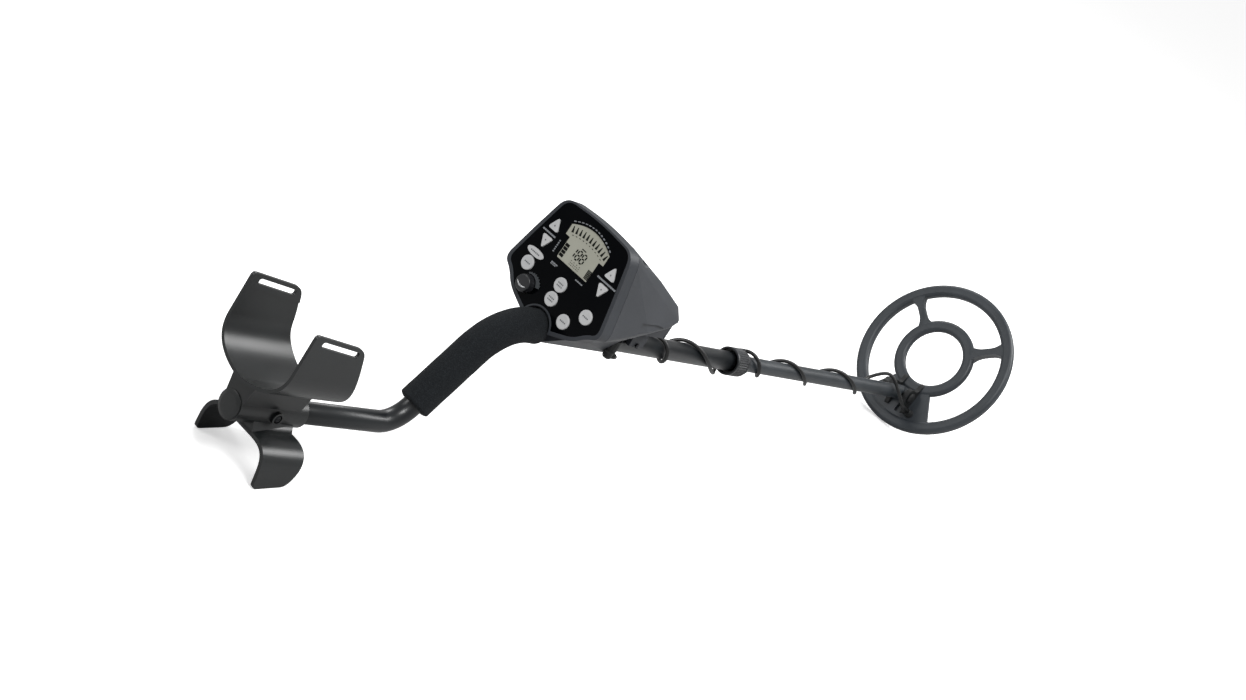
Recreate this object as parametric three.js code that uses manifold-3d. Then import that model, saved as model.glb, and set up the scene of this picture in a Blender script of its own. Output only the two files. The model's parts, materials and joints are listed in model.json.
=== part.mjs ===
// Metal detector with an S-shaped rod, an armrest with stand legs, a control housing,
// a telescoping lower stem and a tilting open-ring search coil.
// Units are millimetres. The rod frame has +X forward along the straight tube, +Y left and +Z up;
// the whole assembly is then pitched until the stand and the coil rim meet the ground.
import * as THREE from 'three';
import { mergeVertices } from 'three/addons/utils/BufferGeometryUtils.js';
import { ConvexGeometry } from 'three/addons/geometries/ConvexGeometry.js';
import Module from 'manifold-3d';

const wasm = await Module();
wasm.setup();

// ---------------------------------------------------------------- driving dimensions
const fit = 0.3; // gap between pieces that touch
const runningGap = 0.4; // gap between pieces that slide or turn

const rodRadius = 11.1;
const rodWall = 1.2;
const rodRear = -222; // rear end of the rod, behind the first bend's corner
const rodFront = 496; // front end of the rod, inside the lock collar
const rodRise = 131.8; // height of the front section above the rear section
const rodRun = 67.2; // distance forward between the corners of the two bends
const rearBendRadius = 40;
const frontBendRadius = 70;
const rodSides = 16;

const gripRadius = 18;
const gripStart = 26; // along the sloping section from the first corner
const gripEnd = 122; // forward position where the foam enters the housing

const sleeveRadius = 15;
const sleeveRear = -228;
const sleeveFront = -138;
const crossBolt = { x: -179, radius: 2.2, boss: 6.5 };
const cup = { rear: -234.5, halfWidth: 51.5, wall: 3.5, bottom: 26, shoulder: 66, top: 112 };
const strapSlot = { rear: -223, front: -170, height: 6, below: 7 };
const leg = { rear: -202, front: -149, wall: 4.2, halfWidth: 48, top: -16 };
const foot = { x: -180, drop: 55.5 }; // middle of the feet, below the rod's axis
const endCap = { rim: 13.8, dome: 2, plug: 5.4 };
const screwHead = { radius: 4, pocket: 4.6, seat: 15.5, end: 18 }; // of the cross bolt and its nut

const faceForward = 118.2; // where the face plane crosses the arrow keys' height
const faceHeight = 215.5;
const faceTilt = THREE.MathUtils.degToRad(87); // from the rod's axis up to the face
const bezelDepth = 15.5;
const bezelMargin = 4.2; // rim round the black panel
const bezelWall = 3;
const panel = { thickness: 2.4, recess: 0.6, shelf: 4, notch: 24 };
const housingNotch = 20.5; // arch in the bezel round the foam grip
const shell = { wall: 2.5, front: 292, floor: 119.4, lowerEnd: 248, deckHeight: 172 };
const batteryBay = { rear: 235, halfWidth: 30, bottom: 157.5 };
const battery = { length: 46, width: 25.5, height: 16.5 };
const doorThickness = 2.4;

const key = { travel: 0.8, proud: 0.9, gap: 0.25, round: 7.8 };
const arrow = { width: 14.5, height: 14.3, across: 44, above: 9 };
const roundKeys = {
  key_menu: [-47.4, -38.6],
  key_upper: [0.7, -33.2],
  key_lower: [0.7, -50.2],
  key_left: [27.6, -59.4],
  key_right: [46.9, -40.4],
};
const ovalKey = { at: [-46, -25.4], width: 23, height: 8.2 };
const dial = { at: [-33.1, -55.4], radius: 10, height: 9, shaft: 3, bush: 9 };
const display = { half: 23, low: -14, step: 9.5, wide: 29.3, shoulder: 21.5, crown: 30 };

const collar = { rear: 478, front: 508, radius: 16.2, nose: 13.6 };
const stemPlay = 1.15; // between the lower stem and the rod's bore, taken up by the bush
const stem = { radius: rodRadius - rodWall - stemPlay, wall: 1.8, rear: 352, front: 868 };
const stemTurn = THREE.MathUtils.degToRad(-6.5); // the lower stem stands a little turned in its collar
const pivotForward = stem.front + 17.5;
const coil = {
  radius: 101.5, rim: 15, thickness: 13, innerOuter: 52, innerBore: 37, plate: 8,
  behindPivot: 61.5, belowPivot: 18, spoke: 8.5, spokeAngle: THREE.MathUtils.degToRad(51.5),
  plateAngle: THREE.MathUtils.degToRad(33), tilt: THREE.MathUtils.degToRad(69.1),
};
const lug = { inner: 10.3, outer: 16, radius: 9.5 };
const pivotBolt = 3; // radius
const boltEnd = 25; // how far past the middle the pivot bolt reaches

const cable = { radius: 2.5, lift: 0.7, sides: 8 };
const screwShank = 1.5;
const saddle = { rear: 263, front: 288, half: 15, flange: 4.4, screwAt: 276, screwUp: 6 };

// ---------------------------------------------------------------- finishes
const finish = {
  rod: [0x2b2e31, 0.35, 0.6], foam: [0x23262d, 0.95, 0], moulding: [0x26282a, 0.4, 0],
  housing: [0x46484e, 0.5, 0], panel: [0x0a0b0d, 0.15, 0], key: [0xc8c8c8, 0.5, 0],
  glass: [0xb9b9ae, 0.1, 0], coil: [0x3c4045, 0.45, 0], stem: [0x30343a, 0.45, 0],
  cable: [0x1a1b1d, 0.5, 0], steel: [0x9a9da0, 0.3, 0.9], board: [0x1f4a33, 0.6, 0],
  copper: [0xa2653a, 0.35, 0.8], rubber: [0x151515, 0.8, 0], battery: [0x55585c, 0.4, 0.2],
  knob: [0x1b1c1e, 0.4, 0],
};

function materialOf(kind) {
  const [color, roughness, metalness] = finish[kind];
  return new THREE.MeshStandardMaterial({ color, roughness, metalness });
}

// ---------------------------------------------------------------- solids
function closed(geometry) {
  const bare = geometry.clone();
  bare.deleteAttribute('normal');
  bare.deleteAttribute('uv');
  const merged = mergeVertices(bare, 1e-4);
  const index = merged.index.array;
  const position = merged.attributes.position;
  const [a, b, c] = [new THREE.Vector3(), new THREE.Vector3(), new THREE.Vector3()];
  const kept = [];
  let volume = 0;
  for (let i = 0; i < index.length; i += 3) {
    const [p, q, r] = [index[i], index[i + 1], index[i + 2]];
    if (p === q || q === r || r === p) continue;
    a.fromBufferAttribute(position, p);
    b.fromBufferAttribute(position, q);
    c.fromBufferAttribute(position, r);
    volume += a.dot(b.cross(c));
    kept.push(p, q, r);
  }
  if (volume < 0) kept.reverse();
  merged.setIndex(kept);
  return merged;
}

function manifoldOf(geometry) {
  const solid = closed(geometry);
  const vertProperties = new Float32Array(solid.attributes.position.array);
  const triVerts = new Uint32Array(solid.index.array);
  return new wasm.Manifold(new wasm.Mesh({ numProp: 3, vertProperties, triVerts }));
}

function geometryOf(manifold) {
  const mesh = manifold.getMesh();
  const geometry = new THREE.BufferGeometry();
  geometry.setAttribute('position', new THREE.BufferAttribute(new Float32Array(mesh.vertProperties), 3));
  geometry.setIndex(Array.from(mesh.triVerts));
  return geometry;
}

function join(first, ...others) {
  return geometryOf(others.reduce((sum, other) => sum.add(manifoldOf(other)), manifoldOf(first)));
}

function cut(first, ...tools) {
  return geometryOf(tools.reduce((rest, tool) => rest.subtract(manifoldOf(tool)), manifoldOf(first)));
}

function common(first, second) {
  return geometryOf(manifoldOf(first).intersect(manifoldOf(second)));
}

const vec = (x, y, z) => new THREE.Vector3(x, y, z);
const axisY = vec(0, 1, 0);

// turned solid: profile of [radius, distance along the axis] pairs from a point along a direction
function turned(profile, from, direction, sides = 24) {
  const points = profile.map(([radius, along]) => new THREE.Vector2(radius, along));
  const geometry = new THREE.LatheGeometry(points, sides);
  geometry.applyQuaternion(new THREE.Quaternion().setFromUnitVectors(axisY, direction.clone().normalize()));
  geometry.translate(from.x, from.y, from.z);
  return geometry;
}

function cylinder(radius, from, to, sides = 24) {
  const length = from.distanceTo(to);
  const profile = [[0, 0], [radius, 0], [radius, length], [0, length]];
  return turned(profile, from, to.clone().sub(from), sides);
}

function pipe(outer, inner, from, to, sides = 24) {
  const length = from.distanceTo(to);
  const profile = [[inner, 0], [outer, 0], [outer, length], [inner, length], [inner, 0]];
  return turned(profile, from, to.clone().sub(from), sides);
}

function block(low, high) {
  const size = high.clone().sub(low);
  const middle = low.clone().add(high).multiplyScalar(0.5);
  return new THREE.BoxGeometry(size.x, size.y, size.z).translate(middle.x, middle.y, middle.z);
}

// a shape drawn in (Y, Z), carried along X
function alongX(shape, from, to, curveSegments = 6) {
  const geometry = new THREE.ExtrudeGeometry(shape, { depth: to - from, bevelEnabled: false, curveSegments });
  const basis = new THREE.Matrix4().makeBasis(vec(0, 1, 0), vec(0, 0, 1), vec(1, 0, 0));
  return geometry.applyMatrix4(basis).translate(from, 0, 0);
}

// a shape drawn in (X, Z), carried along Y between two values
function alongY(shape, from, to, curveSegments = 6) {
  const geometry = new THREE.ExtrudeGeometry(shape, { depth: to - from, bevelEnabled: false, curveSegments });
  const basis = new THREE.Matrix4().makeBasis(vec(1, 0, 0), vec(0, 0, 1), vec(0, -1, 0));
  return geometry.applyMatrix4(basis).translate(0, to, 0);
}

// a shape drawn in (X, Y), carried along Z between two values
function alongZ(shape, from, to, curveSegments = 6) {
  const geometry = new THREE.ExtrudeGeometry(shape, { depth: to - from, bevelEnabled: false, curveSegments });
  return geometry.translate(0, 0, from);
}

// outline through corners [x, y, rounding], each corner turned by a quadratic curve
function roundedShape(corners) {
  const shape = new THREE.Shape();
  corners.forEach(([x, y, rounding], i) => {
    const corner = new THREE.Vector2(x, y);
    const before = new THREE.Vector2(...corners[(i + corners.length - 1) % corners.length].slice(0, 2));
    const after = new THREE.Vector2(...corners[(i + 1) % corners.length].slice(0, 2));
    const reach = (end) => Math.min(rounding, 0.49 * corner.distanceTo(end));
    const enter = corner.clone().lerp(before, reach(before) / corner.distanceTo(before));
    const leave = corner.clone().lerp(after, reach(after) / corner.distanceTo(after));
    if (i === 0) shape.moveTo(enter.x, enter.y);
    else shape.lineTo(enter.x, enter.y);
    if (rounding > 0) shape.quadraticCurveTo(corner.x, corner.y, leave.x, leave.y);
  });
  shape.closePath();
  return shape;
}

// the same corners moved outwards by a margin, for a polygon listed counter-clockwise
function offsetCorners(corners, margin) {
  return corners.map(([x, y, rounding], i) => {
    const before = corners[(i + corners.length - 1) % corners.length];
    const after = corners[(i + 1) % corners.length];
    const incoming = new THREE.Vector2(x - before[0], y - before[1]).normalize();
    const outgoing = new THREE.Vector2(after[0] - x, after[1] - y).normalize();
    const normals = [incoming, outgoing].map((edge) => new THREE.Vector2(edge.y, -edge.x));
    const bisector = normals[0].clone().add(normals[1]).normalize();
    const shift = margin / bisector.dot(normals[0]);
    return [x + bisector.x * shift, y + bisector.y * shift, Math.max(rounding + margin * 0.6, 0.5)];
  });
}

// a path through chosen stations, each with its own direction
class StationPath extends THREE.Curve {
  constructor(points, tangents) {
    super();
    this.points = points;
    this.tangents = tangents ?? points.map((point, i) => {
      const next = points[Math.min(i + 1, points.length - 1)];
      return next.clone().sub(points[Math.max(i - 1, 0)]).normalize();
    });
  }

  station(t) {
    return Math.round(t * (this.points.length - 1));
  }

  getPoint(t) {
    return this.points[this.station(t)].clone();
  }

  getPointAt(t) {
    return this.getPoint(t);
  }

  getTangent(t) {
    return this.tangents[this.station(t)].clone();
  }

  getTangentAt(t) {
    return this.getTangent(t);
  }
}

function roundSection(outer, inner, sides) {
  const shape = new THREE.Shape();
  const ring = (radius) => Array.from({ length: sides }, (_, i) => {
    const angle = (2 * Math.PI * i) / sides;
    return new THREE.Vector2(radius * Math.cos(angle), radius * Math.sin(angle));
  });
  shape.setFromPoints(ring(outer));
  if (inner > 0) shape.holes.push(new THREE.Path(ring(inner).reverse()));
  return shape;
}

function sweep(path, outer, inner, sides) {
  const steps = path.points.length - 1;
  return new THREE.ExtrudeGeometry(roundSection(outer, inner, sides), { steps, extrudePath: path });
}

// ---------------------------------------------------------------- scene helpers
function add(group, name, geometry, kind, pivot = vec(0, 0, 0)) {
  const solid = closed(geometry);
  solid.translate(-pivot.x, -pivot.y, -pivot.z);
  solid.computeVertexNormals();
  const mesh = new THREE.Mesh(solid, materialOf(kind));
  mesh.name = name;
  mesh.position.copy(pivot);
  group.add(mesh);
  return mesh;
}

// ---------------------------------------------------------------- rod, grip and armrest
const rodSlope = Math.atan2(rodRise, rodRun);

// stations of the rod's centreline: straight, bend, sloping straight, bend, straight
function rodStations(bendSteps) {
  const points = [];
  const tangents = [];
  const push = (x, z, angle) => {
    points.push(vec(x, 0, z));
    tangents.push(vec(Math.cos(angle), 0, Math.sin(angle)));
  };
  const rearTangent = rearBendRadius * Math.tan(rodSlope / 2);
  const frontTangent = frontBendRadius * Math.tan(rodSlope / 2);
  push(rodRear, 0, 0);
  for (let i = 0; i <= bendSteps; i += 1) {
    const angle = (rodSlope * i) / bendSteps;
    push(-rearTangent + rearBendRadius * Math.sin(angle), rearBendRadius * (1 - Math.cos(angle)), angle);
  }
  for (let i = bendSteps; i >= 0; i -= 1) {
    const angle = (rodSlope * i) / bendSteps;
    const x = rodRun + frontTangent - frontBendRadius * Math.sin(angle);
    push(x, rodRise - frontBendRadius * (1 - Math.cos(angle)), angle);
  }
  push(rodFront, rodRise, 0);
  return { points, tangents };
}

function makeRod(group) {
  const { points, tangents } = rodStations(4);
  const tube = sweep(new StationPath(points, tangents), rodRadius, rodRadius - rodWall, rodSides);
  const hole = cylinder(crossBolt.radius + fit, vec(crossBolt.x, -20, 0), vec(crossBolt.x, 20, 0), 12);
  const [sx, sz] = [saddle.screwAt, rodRise + saddle.screwUp];
  const screwHole = cylinder(screwShank + fit, vec(sx, -20, sz), vec(sx, 20, sz), 8);
  add(group, 's_rod', cut(tube, hole, screwHole), 'rod');
}

function makeGrip(group) {
  const { points, tangents } = rodStations(4);
  const start = vec(gripStart * Math.cos(rodSlope), 0, gripStart * Math.sin(rodSlope));
  const kept = [start];
  const directions = [vec(Math.cos(rodSlope), 0, Math.sin(rodSlope))];
  points.forEach((point, i) => {
    if (point.z > start.z + 5 && point.x < gripEnd - 8) {
      kept.push(point);
      directions.push(tangents[i]);
    }
  });
  kept.push(vec(gripEnd, 0, rodRise));
  directions.push(vec(1, 0, 0));
  const foam = sweep(new StationPath(kept, directions), gripRadius, rodRadius + fit, rodSides);
  add(group, 'foam_grip', foam, 'foam');
}

// U-shaped wall of the armrest cup, drawn in (Y, Z)
function cupProfile() {
  const { halfWidth: w, wall, bottom, shoulder, top } = cup;
  const shape = new THREE.Shape();
  shape.moveTo(-w, top);
  shape.lineTo(-w, shoulder);
  shape.bezierCurveTo(-w, bottom + 14, -w * 0.58, bottom + 4, 0, bottom);
  shape.bezierCurveTo(w * 0.58, bottom + 4, w, bottom + 14, w, shoulder);
  shape.lineTo(w, top);
  const inner = w - wall;
  shape.lineTo(inner, top);
  shape.lineTo(inner, shoulder);
  shape.bezierCurveTo(inner, bottom + wall + 13, inner * 0.58, bottom + wall + 4, 0, bottom + wall);
  shape.bezierCurveTo(-inner * 0.58, bottom + wall + 4, -inner, bottom + wall + 13, -inner, shoulder);
  shape.lineTo(-inner, top);
  shape.closePath();
  return shape;
}

// side view of the cup in (X, Z): upright rear edge, falling top edge, raked front edge
function cupOutline() {
  const rear = cup.rear;
  return roundedShape([
    [rear, 15, 0], [rear + 98, 15, 0], [rear + 93.5, 40, 6], [rear + 87.5, 55, 10],
    [rear + 82.5, 74, 10], [rear + 70, 103.5, 10], [rear, 111, 5],
  ]);
}

function slotShape() {
  const fall = (103.5 - 111) / 70;
  const half = strapSlot.height / 2;
  const zAt = (x) => 111 + fall * (x - cup.rear) - strapSlot.below;
  const [rear, front] = [strapSlot.rear, strapSlot.front];
  return roundedShape([
    [rear, zAt(rear) - half, half], [front, zAt(front) - half, half],
    [front, zAt(front) + half, half], [rear, zAt(rear) + half, half],
  ]);
}

// inverted U of the two stand legs, drawn in (Y, Z)
function legProfile() {
  const { halfWidth: w, wall, top } = leg;
  const low = -85;
  const knee = -46;
  const shape = new THREE.Shape();
  shape.moveTo(-w - 2, low);
  shape.lineTo(-w, knee);
  shape.bezierCurveTo(-w + 0.5, knee + 23, -w + 9, top, -18, top);
  shape.lineTo(18, top);
  shape.bezierCurveTo(w - 9, top, w - 0.5, knee + 23, w, knee);
  shape.lineTo(w + 2, low);
  shape.lineTo(w + 2 - wall, low);
  shape.lineTo(w - wall, knee);
  shape.bezierCurveTo(w - wall - 0.5, knee + 21, w - wall - 8, top - wall, 18, top - wall);
  shape.lineTo(-18, top - wall);
  shape.bezierCurveTo(-w + wall + 8, top - wall, -w + wall + 0.5, knee + 21, -w + wall, knee);
  shape.lineTo(-w - 2 + wall, low);
  shape.closePath();
  return shape;
}

// side view of the legs in (X, Z): the sole lies along the ground
function legOutline(groundSlope) {
  const ground = (x) => -foot.drop + (x - foot.x) * Math.tan(groundSlope);
  const toe = leg.front - 8;
  return roundedShape([
    [leg.rear + 4, ground(leg.rear + 4), 5], [toe, ground(toe), 8],
    [leg.front, -36, 10], [leg.front + 5, -8, 0], [leg.rear, -8, 0], [leg.rear, -34, 10],
  ]);
}

function makeArmrest(group, groundSlope) {
  const bowl = common(alongX(cupProfile(), cup.rear, cup.rear + 98, 7), alongY(cupOutline(), -60, 60, 4));
  const saddleShape = roundedShape([[-12, 4, 0], [12, 4, 0], [17, 30, 0], [0, 27.5, 0], [-17, 30, 0]]);
  const bridge = alongX(saddleShape, sleeveRear, -150);
  const sleeve = cylinder(sleeveRadius, vec(sleeveRear, 0, 0), vec(sleeveFront, 0, 0), 20);
  const legs = common(alongX(legProfile(), leg.rear - 6, leg.front + 6, 6),
    alongY(legOutline(groundSlope), -60, 60, 4));
  const webShape = roundedShape([[-19, leg.top - 2, 0], [19, leg.top - 2, 0], [12, -6, 0], [-12, -6, 0]]);
  const web = alongX(webShape, leg.rear, leg.front);
  const boss = cylinder(crossBolt.boss, vec(crossBolt.x, -18, 0), vec(crossBolt.x, 18, 0), 18);
  const bore = cylinder(rodRadius + fit, vec(sleeveRear - 5, 0, 0), vec(sleeveFront + 5, 0, 0), rodSides);
  const bolt = cylinder(crossBolt.radius + fit, vec(crossBolt.x, -30, 0), vec(crossBolt.x, 30, 0), 12);
  const { radius: headRadius, pocket, seat, end } = screwHead;
  const pocketOn = (sign) => cylinder(pocket, vec(crossBolt.x, sign * (end + 1), 0),
    vec(crossBolt.x, sign * (seat - fit), 0), 16);
  const slot = alongY(slotShape(), -70, 70, 3);
  const body = join(bowl, bridge, sleeve, legs, web, boss);
  add(group, 'armrest', cut(body, bore, bolt, pocketOn(-1), pocketOn(1), slot), 'moulding');

  const { rim: capRim, dome, plug: capPlug } = endCap;
  const capProfile = [
    [0, -dome], [capRim - 3.8, 0.2 - dome], [capRim, -0.8], [capRim, 0], [rodRadius, 0],
    [rodRadius, capPlug], [0, capPlug],
  ];
  add(group, 'sleeve_end_cap', turned(capProfile, vec(sleeveRear - fit, 0, 0), vec(1, 0, 0), 20), 'moulding');

  const head = cylinder(headRadius, vec(crossBolt.x, -end, 0), vec(crossBolt.x, -seat, 0), 16);
  const shank = cylinder(crossBolt.radius, vec(crossBolt.x, -16, 0), vec(crossBolt.x, 17.5, 0), 12);
  const drive = block(vec(crossBolt.x - 3, -18.6, -0.5), vec(crossBolt.x + 3, -17.2, 0.5));
  add(group, 'armrest_screw', cut(join(head, shank), drive), 'steel');
  const nut = pipe(headRadius, crossBolt.radius + 2 * fit, vec(crossBolt.x, seat, 0),
    vec(crossBolt.x, end, 0), 6);
  add(group, 'armrest_nut', nut, 'steel');
}

// ---------------------------------------------------------------- housing: face frame
// face coordinates: a to the user's right, b up the face, w out towards the user
const faceUp = vec(Math.cos(faceTilt), 0, Math.sin(faceTilt));
const faceNormal = vec(-Math.sin(faceTilt), 0, Math.cos(faceTilt));
const faceFrame = new THREE.Matrix4().makeBasis(vec(0, -1, 0), faceUp, faceNormal)
  .setPosition(faceForward, 0, faceHeight);
const rodOnFace = (rodRise - faceHeight) / Math.sin(faceTilt); // b of the rod's axis

const facePoint = (a, b, w) => vec(a, b, w).applyMatrix4(faceFrame);

function plate(shape, low, high, curveSegments = 2) {
  return alongZ(shape, low, high, curveSegments).applyMatrix4(faceFrame);
}

function peg(radius, [a, b], low, high, sides = 16) {
  return cylinder(radius, facePoint(a, b, low), facePoint(a, b, high), sides);
}

function rodClearance(radius, from = 90, to = 262) {
  return cylinder(radius, vec(from, 0, rodRise), vec(to, 0, rodRise), rodSides);
}

const panelRight = [
  [20, -76, 0], [47, -65, 9], [59, -52.8, 5], [70.3, -46.8, 8],
  [62.6, -15, 20], [57, 6, 20], [48.6, 37.6, 11],
];
const panelCorners = [
  ...panelRight, [0, 41.5, 40], ...panelRight.map(([a, b, r]) => [-a, b, r]).reverse(),
];
const bezelTopDrop = 2; // the rim is this much narrower along the top of the panel
function outlineShape(margin) {
  const drop = margin > 0 ? (bezelTopDrop * margin) / bezelMargin : 0;
  const corners = offsetCorners(panelCorners, margin).map(([a, b, r]) => [a, b > 30 ? b - drop : b, r]);
  return roundedShape(corners);
}
const bezelScrews = [[-44, 30.5], [44, 30.5], [-62.3, -40.5], [62.3, -40.5]];
const screwBoss = 4.2;

function displayShape(margin) {
  const { half, low, step, wide, shoulder, crown } = display;
  const shape = new THREE.Shape();
  shape.moveTo(-half - margin, low - margin);
  shape.lineTo(half + margin, low - margin);
  shape.lineTo(half + margin, step - margin);
  shape.lineTo(wide + margin, step - margin);
  shape.lineTo(wide + margin, shoulder + margin);
  shape.quadraticCurveTo(0, 2 * crown - shoulder + margin, -wide - margin, shoulder + margin);
  shape.lineTo(-wide - margin, step - margin);
  shape.lineTo(-half - margin, step - margin);
  shape.closePath();
  return shape;
}

function rectangle(left, low, right, high, rounding = 0) {
  const corners = [[left, low], [right, low], [right, high], [left, high]];
  return roundedShape(corners.map(([a, b]) => [a, b, rounding]));
}

const shelfBack = -5.5;
const panelBack = -(panel.recess + panel.thickness);

function makeBezel(group) {
  const rim = plate(outlineShape(bezelMargin), -bezelDepth, 0);
  const pocket = cut(plate(outlineShape(0), panelBack - fit, 2), rodClearance(panel.notch));
  const opening = cut(plate(outlineShape(-panel.shelf), -30, 2), rodClearance(panel.notch + 0.8));
  const hollow = cut(plate(outlineShape(bezelMargin - bezelWall), -30, shelfBack), rodClearance(panel.notch));
  const bosses = bezelScrews.map((at) => peg(screwBoss, at, -bezelDepth, panelBack - fit - 1, 8));
  const holes = bezelScrews.map((at) => peg(screwShank + fit, at, -30, -9, 8));
  const frame = cut(rim, pocket, opening, hollow);
  add(group, 'housing_bezel', cut(join(frame, ...bosses), rodClearance(housingNotch), ...holes), 'housing');
}

function arrowCorners([a, b], up) {
  const { width, height } = arrow;
  const sign = up ? 1 : -1;
  const corners = [
    [a - width / 2, b - sign * height * 0.36, 3.4], [a + width / 2, b - sign * height * 0.36, 3.4],
    [a, b + sign * height * 0.64, 3.4],
  ];
  return up ? corners : corners.reverse();
}

const arrowKeys = {
  key_up_left: arrowCorners([-arrow.across, arrow.above], true),
  key_up_right: arrowCorners([arrow.across, arrow.above], true),
  key_down_left: arrowCorners([-arrow.across, -arrow.above], false),
  key_down_right: arrowCorners([arrow.across, -arrow.above], false),
};

function ovalCorners() {
  const [a, b] = ovalKey.at;
  const [x, y] = [ovalKey.width / 2, ovalKey.height / 2];
  return [[a - x, b - y, y], [a + x, b - y, y], [a + x, b + y, y], [a - x, b + y, y]];
}

const shapedKeys = { ...arrowKeys, key_oval: ovalCorners() };
const keyTop = key.proud;
const flangeTop = panelBack - fit;
const flangeBottom = flangeTop - 1.2;
const keyFoot = flangeBottom - 1;
const matTop = keyFoot - key.travel - fit;
const boardTop = matTop - 2.7;
const boardThickness = 1.7;

function makeKeys(group) {
  Object.entries(shapedKeys).forEach(([name, corners]) => {
    const cap = plate(roundedShape(offsetCorners(corners, 0)), keyFoot, keyTop, 3);
    const flange = plate(roundedShape(offsetCorners(corners, 0.5)), flangeBottom, flangeTop, 3);
    const middle = corners.reduce((sum, [a, b]) => [sum[0] + a, sum[1] + b], [0, 0]);
    const pivot = facePoint(middle[0] / corners.length, middle[1] / corners.length, 0);
    add(group, name, join(cap, flange), 'key', pivot);
  });
  Object.entries(roundKeys).forEach(([name, [a, b]]) => {
    const r = key.round;
    const profile = [
      [0, keyFoot], [r - 1.8, keyFoot], [r - 1.8, flangeBottom], [r + 0.5, flangeBottom],
      [r + 0.5, flangeTop], [r, flangeTop], [r, keyTop - 0.5], [r - 1, keyTop], [0, keyTop],
    ];
    add(group, name, turned(profile, facePoint(a, b, 0), faceNormal, 16), 'key', facePoint(a, b, 0));
  });
}

function makePanel(group) {
  const sheet = plate(outlineShape(-fit), panelBack, -panel.recess);
  const shaped = Object.values(shapedKeys)
    .map((corners) => plate(roundedShape(offsetCorners(corners, key.gap)), -10, 2, 3));
  const round = Object.values(roundKeys).map((at) => peg(key.round + key.gap, at, -10, 2, 16));
  const shaft = peg(dial.shaft + fit, dial.at, -10, 2, 16);
  const window = plate(displayShape(fit), -10, 2, 6);
  const body = cut(sheet, rodClearance(panel.notch + fit), window, shaft, ...shaped, ...round);
  add(group, 'face_panel', body, 'panel');
  add(group, 'lcd_window', plate(displayShape(0), panelBack + 0.4, -panel.recess - 0.5, 6), 'glass');
}

function makeElectronics(group) {
  const { wide, low, crown } = display;
  const moduleOutline = rectangle(-wide - 2, low - 2.5, wide + 2, crown + 2.5);
  const module = plate(moduleOutline, boardTop + fit, panelBack - fit);
  add(group, 'lcd_module', module, 'panel');

  const bossHoles = bezelScrews.map((at) => peg(screwBoss + fit, at, -40, 2, 8));
  const matSheet = plate(outlineShape(-6.5), boardTop + fit, matTop, 1);
  const displayCut = plate(rectangle(-wide - 2.6, low - 3.1, wide + 2.6, 70), -30, 2);
  const potHole = peg(dial.shaft + 1, dial.at, -30, 2, 12);
  const mat = cut(matSheet, displayCut, potHole, rodClearance(panel.notch + 5), ...bossHoles);
  add(group, 'keypad_mat', mat, 'rubber');

  const boardSheet = plate(outlineShape(-4.6), boardTop - boardThickness, boardTop, 1);
  const board = cut(boardSheet, rodClearance(panel.notch + 4), peg(dial.shaft + fit, dial.at, -40, 2, 14),
    ...bossHoles);
  add(group, 'main_board', board, 'board');

  const back = boardTop - boardThickness - fit;
  const cone = [[0, -15], [8, -15], [8, -11], [20, -4], [20, 0], [0, 0]];
  const speaker = turned(cone.map(([r, w]) => [r, w + back]), facePoint(0, 8, 0), faceNormal, 20);
  add(group, 'speaker', speaker, 'rubber');

  const pot = [[0, back - 9], [dial.bush, back - 9], [dial.bush, back], [dial.shaft, back],
    [dial.shaft, 4.2], [0, 4.2]];
  const potAt = facePoint(...dial.at, 0);
  add(group, 'sensitivity_pot', turned(pot, potAt, faceNormal, 12), 'steel');

  const r = dial.radius;
  const grip = [[0, 4.2 + fit], [dial.shaft + fit, 4.2 + fit], [dial.shaft + fit, -0.2], [r - 0.6, -0.2],
    [r, 0.6], [r - 0.8, dial.height - 1], [r - 1.6, dial.height], [0, dial.height]];
  const pointer = plate(rectangle(dial.at[0] - 0.7, dial.at[1] + 2.5, dial.at[0] + 0.7, dial.at[1] + 12),
    dial.height - 1, dial.height + 2);
  add(group, 'sensitivity_knob', cut(turned(grip, potAt, faceNormal, 20), pointer), 'knob', potAt);
}

// ---------------------------------------------------------------- housing: shell
// half sections [y, z] of the upper body, at stations forward of the bezel
const shellStations = [
  [212, [[0, 229], [38, 226.5], [60, 176], [46, 160]]],
  [246, [[0, 215], [32, 212.5], [50, 179], [36, 167]]],
  [283, [[0, 200], [28, 198], [38, 185], [32, shell.deckHeight]]],
  [shell.front, [[0, 193.5], [24, 192], [32, 185], [28, shell.deckHeight + 1]]],
];
const keelStations = [[212, [[38, 176], [38, 164], [17, 131], [7, shell.floor]]]];

function stationPoints(x, pairs, inset) {
  const heights = pairs.map(([, z]) => z);
  const widest = Math.max(...pairs.map(([y]) => y));
  const middle = (Math.max(...heights) + Math.min(...heights)) / 2;
  const halfHeight = Math.max(...heights) - middle;
  return pairs.flatMap(([y, z]) => {
    const across = y * (1 - inset / widest);
    const height = middle + (z - middle) * (1 - inset / halfHeight);
    return [vec(x, across, height), vec(x, -across, height)];
  });
}

function facePoints(shape, w) {
  return shape.getPoints(1).map((point) => facePoint(point.x, point.y, w));
}

const shellBack = -(bezelDepth + fit);

function upperHull(inset) {
  const rear = facePoints(outlineShape(bezelMargin - inset), inset > 0 ? shellBack + 1.5 : shellBack);
  const stations = shellStations.flatMap(([x, pairs]) => {
    const forward = x === shell.front ? x - inset : x;
    return stationPoints(forward, pairs, inset);
  });
  return new ConvexGeometry([...rear, ...stations]);
}

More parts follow.
